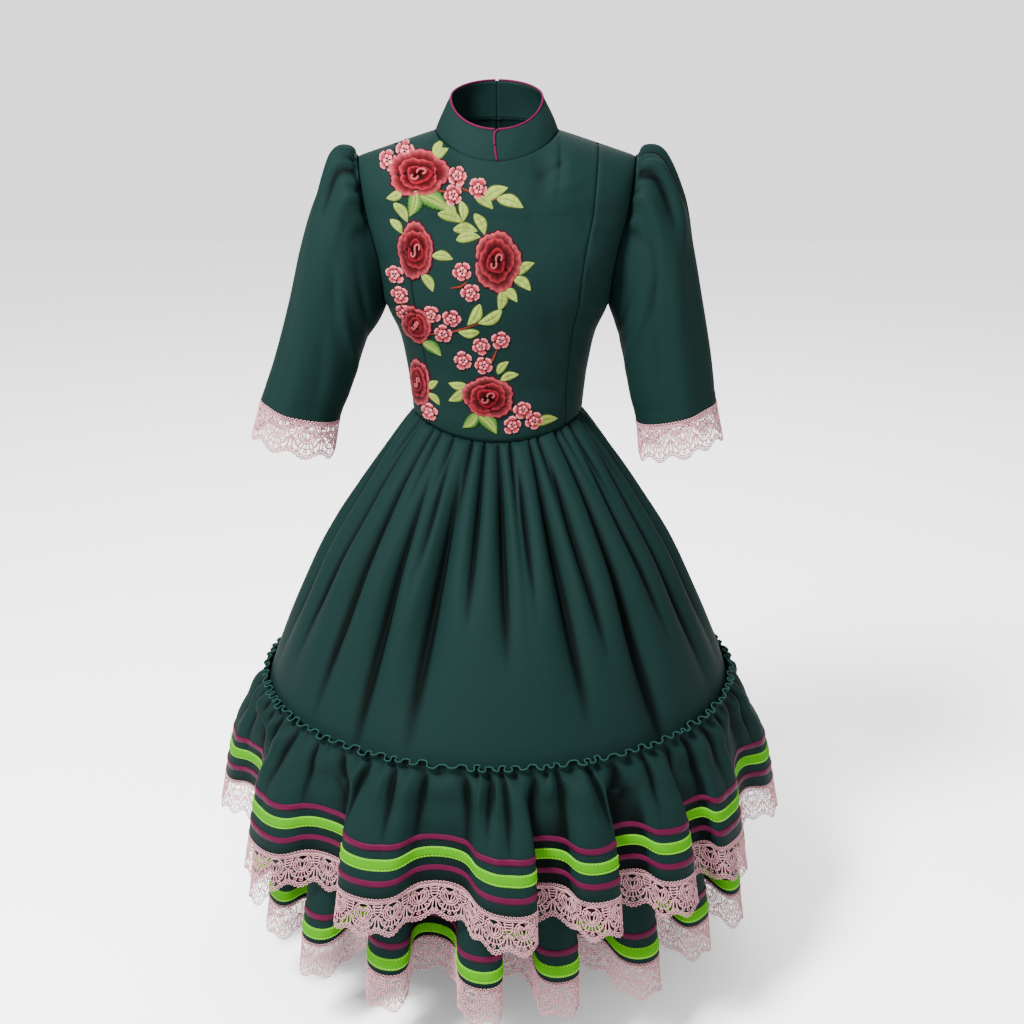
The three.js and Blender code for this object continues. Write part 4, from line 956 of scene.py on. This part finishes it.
def spoke(half, turn, near, far):
    """A straight thread that runs out from the heart's centre."""
    return bar(half, *[(r * math.sin(turn), HEART_V + r * math.cos(turn)) for r in (near, far)])


def arc(radius, first, last, parts, half):
    """An arc round the heart's centre; its angles are in degrees from straight down."""
    turns = np.radians(np.linspace(first, last, parts + 1))
    return np.stack([radius * np.sin(turns), HEART_V + radius * np.cos(turns)], axis=1), half, False


def scallop(u):
    """How far down the lace's lower edge lies."""
    return 44.5 + 9.5 * (0.5 + 0.5 * np.cos(2 * np.pi * u / REPEAT))


def lace_repeat():
    """The threads of one repeat, flat: u across it from -21.5 to 21.5, v down from the hem."""
    edge = REPEAT / 2
    lines = [ring(-edge + REPEAT * (k + 0.5) / 8, -1.0, 2.1, 0.75) for k in range(8)]
    lines += [bar(1.15, (-edge, 2.3), (0, 2.3), (edge, 2.3)), bar(0.6, (-edge, 5.0), (0, 5.0), (edge, 5.0))]
    for k in range(10):
        u = -edge + REPEAT * (k + 0.5) / 10
        lines.append(bar(0.5, (u, 2.5), (u, 5.0)))
    for s in (-1, 1):
        lines.append(bar(0.95, (s * 15.9, 4.5), (s * 16.2, 12), (s * 17.2, 19), (s * edge, 22.4)))
        lines += [bar(0.85, (s * (15.9 + 0.02 * v), v), (s * edge, v + 0.3)) for v in (8.2, 12.2, 16.2)]
        lines.append(bar(1.0, (s * (edge - 0.9), 23), (s * (edge - 2.2), 30), (s * (edge - 3.0), 38)))
        lines.append(bar(1.0, (s * (edge - 2.5), 23), (s * (edge - 5.4), 29), (s * (edge - 7.6), 35)))
        lines.append(ring(s * (edge - 2.9), 40.0, 2.1, 0.8))
        lines.append(bar(0.9, (0, 28.5), (s * 2.6, 22), (s * 3.4, 16.5)))
        heart = [(0, 28.0), (s * 6.6, 22.0), (s * 8.3, 15.2), (s * 5.6, 10.6), (s * 2.0, 12.0), (s * 0.6, 16)]
        lines.append(bar(1.0, *heart))
        lines.append(ring(s * 4.6, 14.8, 1.3, 0.7))
        lines += [bar(0.6, (s * 13.6, v), (s * 16.2, v + 0.5)) for v in (8.0, 12.5, 17.0, 21.5)]
        lines.append(ring(s * 15.6, 27.6, 2.2, 0.8))
        lines.append(ring(s * 11.4, 33.6, 2.4, 0.85))
        lines.append(ring(s * 8.9, 41.4, 2.4, 0.85))
    lines.append(arc(13.6, -180, 180, 15, 0.95))
    lines.append(arc(10.6, -150, 150, 11, 0.7))
    lines += [spoke(0.55, math.radians(-145 + 29 * k), 10.6, 13.6) for k in range(11)]
    lines += [spoke(0.85, t, 14, 22) for t in (-0.5, -0.25, 0, 0.25, 0.5)]
    lines.append(arc(22.3, -40, 40, 6, 0.7))
    lines.append(ring(0, 44.0, 2.4, 0.85))
    across = np.linspace(-edge, edge, 9)
    lines.append((np.stack([across, scallop(across) - 4.4], axis=1), 0.75, False))
    for k in range(8):
        u = -edge + REPEAT * (k + 0.5) / 8
        lines.append(ring(u, scallop(u), 2.25, 0.85, 6))
    return lines


def thread_strips(lines, height):
    """Low, rounded strips along flat lines, as points (u, v, w) and four-cornered faces."""
    points, faces, start = [], [], 0
    for line, half, closed in lines:
        before = np.roll(line, 1, 0) if closed else np.concatenate([line[:1], line[:-1]])
        after = np.roll(line, -1, 0) if closed else np.concatenate([line[1:], line[-1:]])
        run = unit(after - before)
        aside = np.stack([run[:, 1], -run[:, 0]], axis=1) * half
        low = np.full((len(line), 1), -height / 2)
        section = [
            np.concatenate([line + aside, low], axis=1),
            np.concatenate([line, low + height], axis=1),
            np.concatenate([line - aside, low], axis=1),
        ]
        points.append(np.stack(section, axis=1).reshape(-1, 3))
        n = len(line)
        i = np.arange(n if closed else n - 1)
        k = (i + 1) % n
        for a, b in ((0, 1), (1, 2), (2, 0)):
            faces.append(start + np.stack([3 * i + a, 3 * k + a, 3 * k + b, 3 * i + b], axis=1))
        start += 3 * n
    return np.concatenate(points), np.concatenate(faces)


def lace_threads(thick):
    """One repeat's threads as strips, thicker or thinner by a factor."""
    lines = [(line, thick * half, closed) for line, half, closed in lace_repeat()]
    return thread_strips(lines, THREAD_HEIGHT)


lace_flat, lace_faces = lace_threads(HEM_THREAD)
cuff_flat, _ = lace_threads(CUFF_THREAD)


def guipure(name, shade, lit):
    """Matt cotton thread with fine twisted strands."""
    material, tree, shader = new_material(name, {"Roughness": 0.82, "Specular IOR Level": 0.1})
    place = add_node(tree, "ShaderNodeTexCoord").outputs["Object"]
    noise = add_node(tree, "ShaderNodeTexNoise", {"Scale": 1400, "Detail": 2}, {"Vector": place})
    strands = noise.outputs["Fac"]
    colour = add_node(tree, "ShaderNodeMix", {"A": shade, "B": lit}, {"Factor": strands}, data_type="RGBA")
    tree.links.new(colour.outputs["Result"], shader.inputs["Base Color"])
    add_bump(tree, shader, strands, 0.0004, 0.5)
    return material


pink_lace = guipure("dusty_pink_cotton", (0.15, 0.062, 0.073, 1), (0.42, 0.215, 0.235, 1))
LACE_TIP = 56
HEM_SEED = 20
CUFF_SEED = 40


def hang_lace(name, hem, below, seed, flat=lace_flat):
    """Lace along a hem: the hem's points, and points just below them down the lace's fall."""
    down = unit(below - hem)
    out = unit(np.cross(down, np.gradient(hem, axis=0)))
    length = np.concatenate([[0], np.cumsum(np.linalg.norm(np.diff(hem, axis=0), axis=1))])
    repeats = max(1, round(length[-1] / REPEAT))
    wide = length[-1] / repeats
    rng = np.random.default_rng(seed)
    rng.random(repeats)  # the lace hangs level: these draws only come before those of its sway
    u = (np.arange(repeats)[:, None] + 0.5 + flat[:, 0] / REPEAT) * wide
    u = np.clip(u, 0.05, length[-1] - 0.05)
    v = np.broadcast_to(flat[:, 1], u.shape)
    sway = np.interp(u, np.linspace(0, length[-1], 3 * repeats), rng.normal(0, 1.1, 3 * repeats))
    w = flat[:, 2] + 0.75 * (1 - smooth((v - 2) / 5)) - 0.45 + sway * (v / LACE_TIP).clip(0, 1) ** 2
    start, fall, stand = [
        np.stack([np.interp(u, length, table[:, c]) for c in range(3)], axis=-1) for table in (hem, down, out)
    ]
    points = start + fall * v[..., None] + stand * w[..., None]
    faces = lace_faces[None] + (np.arange(repeats) * len(flat))[:, None, None]
    lace = make_piece(name + "_edging", points.reshape(-1, 3), faces.reshape(-1, 4).tolist(), pink_lace)
    finish_cloth(lace, name)


for half, start in HALVES.items():
    angle = np.radians(np.linspace(start + 0.05, start + 179.95, 1400))
    for tier in TIERS:
        surface, hem_z = under_ribbon(tier)
        hem = surface(angle, hem_z + 0 * angle)
        hang_lace(tier + "_lace_" + half, hem, surface(angle, hem_z - 8 + 0 * angle), HEM_SEED + len(half))
for word, sleeve in SLEEVES.items():
    for end, first in (("front", 180), ("back", 0)):
        turn = np.radians(np.linspace(first - 0.2, first - 179.8, 200))[:, None]
        cuff, tip = (sleeve_points(sleeve, turn, np.array([[at]]))[:, 0] for at in (SLEEVE_HEM, 1.0))
        lift = sleeve_lift(sleeve, turn, np.array([[SLEEVE_HEM]]))
        out = np.stack([np.cos(turn[:, 0]), -np.sin(turn[:, 0]), 0 * turn[:, 0]], axis=1) * lift
        cuff, tip = cuff + out, tip + out
        for table in (cuff, tip):
            table[:, 0] *= sleeve["side"]
        if sleeve["side"] < 0:
            cuff, tip = cuff[::-1], tip[::-1]
        hang_lace("sleeve_lace_" + word + "_" + end, cuff, tip, CUFF_SEED, cuff_flat)

# The embroidery on the right front: padded satin-stitch roses, small blossoms, leaves and
# stems, each with a dark couched outline. Places are in millimetres across and up.
ROSES = [
    # x, z, half width, half height, turn, how pink its petals are
    (-108, -56, 42, 30, 10, 1.0), (-112, -157, 27, 40, 96, 0.35), (0, -169, 34, 43, 70, 0.3),
    (-114, -265, 23, 30, 200, 0.45), (-114, -358, 16, 37, 110, 0.2), (-13, -368, 39, 34, 25, 0.4),
]
BLOSSOMS = [
    (-54, -57), (-60, -82), (-25, -73), (-128, -27), (-152, -40), (-48, -183), (-36, -212), (-143, -193),
    (-137, -222), (-132, -250), (-92, -246), (-63, -250), (-76, -274), (-22, -290), (6, -281),
    (-48, -313), (-19, -319), (37, -388), (22, -411), (53, -406), (-99, -400),
]
BLOSSOM = 13.5
LEAVES = [
    # x, z of its foot, turn, length
    (-15, -86, 25, 34), (5, -86, -20, 34), (-26, -84, -35, 26), (-70, -94, -50, 22), (-48, -92, -85, 24),
    (-77, -106, -20, 32), (-28, -108, -65, 28), (-56, -126, -5, 30), (-52, -139, 5, 30), (-86, -162, -10, 26),
    (-102, -190, -60, 26), (30, -184, 30, 26), (26, -191, -40, 28), (9, -205, -45, 28), (8, -210, -100, 28),
    (4, -240, -152, 34), (-24, -232, -122, 32), (-28, -270, 178, 27), (2, -330, 48, 22), (8, -340, 15, 24),
    (-46, -352, 175, 24), (-48, -360, -142, 28), (-98, -362, 45, 18), (-98, -372, -45, 20), (58, -410, 5, 30),
    (-140, -96, -55, 28), (-146, -118, -50, 22), (-86, -33, 62, 24), (-84, -34, 34, 20), (-132, -78, 205, 24),
]
SERRATED = [
    (-112, -78, -105, 34), (-104, -82, -28, 42), (-104, -292, -35, 30), (-30, -396, -135, 28),
    (-24, -396, -50, 36),
]
STEMS = [
    (-88, -74, -60, -76), (-62, -68, 4, -88), (-108, -280, -24, -256), (-20, -330, 2, -290),
    (10, -380, 30, -392), (30, -392, 52, -404), (-128, -212, -140, -246), (-64, -206, -40, -196),
]
STEM_BOW = 2.5
DEEP_RED = np.array([0.010, 0.0001, 0.0005])
RED = np.array([0.042, 0.0003, 0.0016])
ROSE_PINK = np.array([0.16, 0.006, 0.012])
PALE_PINK = np.array([0.40, 0.105, 0.12])
OUTLINE = np.array([0.012, 0.0012, 0.004])
LEAF_GREEN = np.array([0.125, 0.165, 0.028])
LEAF_VEIN = np.array([0.035, 0.055, 0.01])
DARK_LEAF = np.array([0.008, 0.036, 0.006])
STEM_BROWN = np.array([0.095, 0.016, 0.008])


class Stitching:
    """Gathers small padded shapes given by place and height above the cloth, with colours."""

    def __init__(self):
        self.places, self.faces, self.colours, self.stitch, self.count = [], [], [], [], 0

    def grid(self, x, z, lift, colour, stitch):
        rows, columns = x.shape
        self.places.append(np.stack([x, z, lift], axis=-1).reshape(-1, 3))
        self.colours.append(colour.reshape(-1, 3))
        self.stitch.append(stitch.reshape(-1, 2))
        p = np.stack([x, z], axis=-1)
        turn = np.cross(p[1:, :-1] - p[:-1, :-1], p[:-1, 1:] - p[:-1, :-1]).sum()
        corners = grid_faces(rows, columns, self.count)
        self.faces.append(corners if turn > 0 else corners[:, ::-1])
        self.count += rows * columns


rng = np.random.default_rng(5)
flowers = Stitching()
greens = Stitching()


def streaked(colour, columns, strength=0.22):
    """Lightens and darkens a shape's columns at random, as single stitches catch the light."""
    streaks = 1 + rng.uniform(-strength, strength, columns)
    return colour * streaks[None, :, None]


def petal(centre, size, turn, near, far, spread, lift, crown, inner, outer, scallops, outline, fine=21):
    """A fan-shaped petal whose stitches run out from the middle to a ruffled rim."""
    s = np.array([0, 0.2, 0.4, 0.58, 0.74, 0.87, 0.96, 1.0, 1.01])[:, None]
    t = np.linspace(-1, 1, fine)[None, :]
    reach = near + (far - near) * np.minimum(s, 1)
    ruffle = 1 - 0.28 * np.abs(t) ** 2.2 + 0.045 * np.cos(t * math.pi * scallops + rng.uniform(-0.5, 0.5))
    reach = near + (reach - near) * ruffle
    angle = math.radians(turn) + t * math.radians(spread) * (0.55 + 0.45 * np.minimum(s, 1))
    edge = np.array([0] * 7 + [0.45, outline])[:, None]
    x = centre[0] + (reach * size[0] + edge) * np.cos(angle)
    z = centre[1] + (reach * size[1] + edge) * np.sin(angle)
    padding = np.array([0.1, 0.55, 0.75, 0.9, 1.0, 1.0, 0.8, 0.0, 0.0])[:, None]
    height = lift + crown * padding * np.sqrt(np.clip(1 - np.abs(t) ** 5, 0, 1))
    height = np.where(s >= 1, lift - 0.1 - 0.35 * (s > 1), height) + 0 * t
    blend = np.array([0, 0.02, 0.05, 0.13, 0.36, 0.8, 1.0, 0.25, 0])[:, None, None]
    colour = inner + (outer - inner) * blend
    colour = streaked(colour + 0 * t[..., None], t.shape[1])
    colour[-2:] = OUTLINE
    colour[:, [0, -1]] *= 0.3
    flowers.grid(x, z, height, colour, np.stack([angle * far * size[0] + 0 * s, reach * size[0]], axis=-1))


def ridge(work, points, half, lift, crown, colour, rim):
    """A padded cord of stitches along a line, with painted light on its crest and painted shade at its sides,
    where the dark rim colour also gives its outline.
    """
    line = np.array(points, float)
    fine = np.linspace(0, len(line) - 1, 6 * len(line))
    line = np.stack([np.interp(fine, np.arange(len(line)), line[:, c]) for c in range(2)], axis=1)
    line = np.concatenate([line[:1], (line[:-2] + 2 * line[1:-1] + line[2:]) / 4, line[-1:]])
    run = unit(np.gradient(line, axis=0))
    across = np.linspace(-1, 1, 7)[None, :]
    taper = np.clip(np.minimum(fine, fine[-1] - fine) / 1.1 + 0.35, 0, 1)[:, None]
    x = line[:, :1] - run[:, 1:] * across * half * taper
    z = line[:, 1:] + run[:, :1] * across * half * taper
    height = lift + crown * np.sqrt(np.clip(1 - across**2, 0, 1)) * taper
    # Painted shade: the colour darkens from the crest colour to the rim colour across the cord.
    shade = (1 - np.abs(across) ** 1.5)[..., None]
    shaded_tone = rim + (colour - rim) * shade + 0 * line[:, :1, None]
    shaded_tone = shaded_tone * (1 + rng.uniform(-0.2, 0.2, (len(line), 1, 1)))
    work.grid(x, z, height + 0 * x, shaded_tone, np.stack([x, z], axis=-1))


for x, z, wide, tall, turn, pink in ROSES:
    centre, size = (x, z), (wide, tall)
    rim = mix(mix(RED, ROSE_PINK, 0.45), ROSE_PINK, pink)
    deep = mix(DEEP_RED, RED, 0.15 + 0.5 * pink)
    for k in range(5):
        a = turn + 72 * k + rng.uniform(-9, 9)
        reach = rng.uniform(0.88, 1.08)
        lift = 0.8 + 0.2 * (k % 3)
        petal(centre, size, a, 0.40, reach, 44, lift, 1.7, deep * 0.7, mix(rim, PALE_PINK, 0.2), 5, 2.1)
    for k in range(4):
        a = turn + 34 + 90 * k + rng.uniform(-12, 12)
        far = rng.uniform(0.62, 0.76)
        lift = 2.1 + 0.2 * (k % 2)
        petal(centre, size, a, 0.22, far, 54, lift, 1.6, deep * 0.45, mix(rim, PALE_PINK, 0.06), 4, 2.0)
    for k in range(3):
        a = turn + 120 * k + rng.uniform(-12, 12)
        far = rng.uniform(0.38, 0.46)
        petal(centre, size, a, 0.02, far, 66, 3.2, 1.2, deep * 0.35, mix(deep, rim, 0.9), 2, 1.7)
    for cx, cy, r, first, around in ((0.14, 0.10, 0.17, 200, -300), (-0.13, -0.10, 0.15, 20, -280)):
        a = np.radians(turn * 0.3 + first + np.linspace(0, around, 12))
        r = r * np.linspace(1.0, 0.35, 12)
        curl = np.stack([x + wide * (cx + r * np.cos(a)), z + tall * (cy + r * np.sin(a))], axis=1)
        ridge(flowers, curl, 1.9, 4.2, 1.4, mix(rim, PALE_PINK, 0.3), deep * 0.4)

for x, z in BLOSSOMS:
    size = (BLOSSOM, BLOSSOM)
    turn = rng.uniform(0, 72)
    for k in range(5):
        a = turn + 72 * k + rng.uniform(-6, 6)
        far = rng.uniform(0.92, 1.08)
        petal((x, z), size, a, 0.3, far, 34, 0.8, 1.3, ROSE_PINK * 0.8, PALE_PINK, 3, 1.0, 11)
    for k in range(5):
        a = 36 + turn + 72 * k
        petal((x, z), size, a, 0.0, 0.5, 38, 1.9, 0.8, PALE_PINK, PALE_PINK * 0.95, 1, 0.8, 7)
    for k in range(3):
        a = math.radians(turn + 120 * k)
        dot = (x + 2.4 * math.cos(a), z + 2.4 * math.sin(a))
        petal(dot, (1.0, 1.0), 0, 0.0, 1.0, 180, 2.8, 0.4, OUTLINE, OUTLINE, 0, 0.2, 9)


def stitched_leaf(x, z, turn, length, face, dark, serrated=False):
    """A leaf in two slanting halves of stitches, with a dark vein and outline."""
    width = 0.19 * length + (3.6 if serrated else 1.9)
    s = np.linspace(-0.12, 1, 17)[:, None]
    t = np.array([-1.14, -1.0, -0.85, -0.5, -0.1, 0, 0.1, 0.5, 0.85, 1.0, 1.14])[None, :]
    belly = np.sin(math.pi * np.clip((s + 0.14) / 1.15, 0, 1) ** 0.85) ** 0.85
    if serrated:
        belly = belly * (1 + 0.16 * (np.arange(17)[:, None] % 2))
    bend = 0.09 * length * np.sin(math.pi * s)
    along = s * length + 0 * t
    aside = t * width * belly + bend
    c, d = math.cos(math.radians(turn)), math.sin(math.radians(turn))
    height = 0.35 + 1.6 * np.sqrt(np.clip(1 - np.abs(t) ** 4, 0, 1)) * np.sqrt(belly + 0.02)
    height = height - 0.75 * np.exp(-((t / 0.08) ** 2)) * belly
    colour = face + 0 * along[..., None]
    colour = colour * (1 + rng.uniform(-0.22, 0.22, (17, 1, 1)))
    if serrated:
        inner = np.exp(-((t / 0.45) ** 2))[..., None]
        colour = colour * (1 - inner) + (LEAF_GREEN * 1.1) * inner
    colour = np.where((np.abs(t) < 0.05)[..., None], dark, colour)
    colour = np.where((np.abs(t) > 0.9)[..., None], dark * 0.6, colour)
    x, z = x + c * along - d * aside, z + d * along + c * aside
    greens.grid(x, z, height, colour, np.stack([along, aside], axis=-1))


for x, z, turn, length in LEAVES:
    stitched_leaf(x, z, turn, length, LEAF_GREEN * rng.uniform(0.85, 1.15), LEAF_VEIN)
for x, z, turn, length in SERRATED:
    stitched_leaf(x, z, turn, length, DARK_LEAF * 1.6, DARK_LEAF * 0.5, True)
for x0, z0, x1, z1 in STEMS:
    middle = ((x0 + x1) / 2 + STEM_BOW, (z0 + z1) / 2 - STEM_BOW)
    ridge(greens, [(x0, z0), middle, (x1, z1)], 2.0, 0.4, 1.3, STEM_BROWN, OUTLINE)

front_points = np.concatenate([grid.reshape(-1, 3) for grid in front_grids])
front_faces, start = [], 0
for grid in front_grids:
    columns, rows = grid.shape[:2]
    front_faces.append(grid_faces(columns, rows, start))
    start += columns * rows
front_tree = BVHTree.FromPolygons(front_points.tolist(), np.concatenate(front_faces).tolist())


def satin_thread():
    """Rayon embroidery thread: the colour of each stitch with fine glossy strands."""
    material, tree, shader = new_material("embroidery_thread", {"Roughness": 0.6, "Specular IOR Level": 0.03})
    colour = add_node(tree, "ShaderNodeAttribute", attribute_name="thread_colour").outputs["Color"]
    place = add_node(tree, "ShaderNodeUVMap", uv_map="stitches").outputs["UV"]
    wave = {"Scale": 0.55, "Distortion": 1.2, "Detail": 2}
    strands = add_node(tree, "ShaderNodeTexWave", wave, {"Vector": place}, bands_direction="X").outputs["Fac"]
    shade = add_node(tree, "ShaderNodeMapRange", {"To Min": 0.72, "To Max": 1.12}, {"Value": strands})
    tint = {0: colour, "Scale": shade.outputs["Result"]}
    tinted = add_node(tree, "ShaderNodeVectorMath", feeds=tint, operation="SCALE")
    tree.links.new(tinted.outputs["Vector"], shader.inputs["Base Color"])
    add_bump(tree, shader, strands, 0.0005, 0.6)
    return material


embroidery_thread = satin_thread()


def embroider(name, work):
    """Lays stitched shapes on the bodice's front."""
    places = np.concatenate(work.places)
    points = np.empty_like(places)
    for i, (x, z, lift) in enumerate(places):
        hit, normal, _, _ = front_tree.ray_cast(Vector((x, -400, z)), Vector((0, 1, 0)))
        if hit is None:
            hit, normal, _, _ = front_tree.find_nearest(Vector((x, -90, z)))
        if normal.y > 0:
            normal = -normal
        points[i] = (hit.x + normal.x * lift, hit.y + normal.y * lift, hit.z + normal.z * lift)
    faces = np.concatenate(work.faces)
    piece = make_piece(name, points, faces.tolist(), embroidery_thread)
    shades = piece.data.color_attributes.new("thread_colour", "FLOAT_COLOR", "POINT")
    colours = np.concatenate([np.concatenate(work.colours), np.ones((len(points), 1))], axis=1)
    shades.data.foreach_set("color", colours.ravel())
    stitch = np.concatenate(work.stitch)
    piece.data.uv_layers.new(name="stitches").data.foreach_set("uv", stitch[faces.reshape(-1)].ravel())
    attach(piece, "root")
    return piece


roses = embroider("roses_and_blossoms", flowers)
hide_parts(*[f"flower_spray_{k}" for k in range(1, 21)])
embroider("leaves_and_stems", greens)
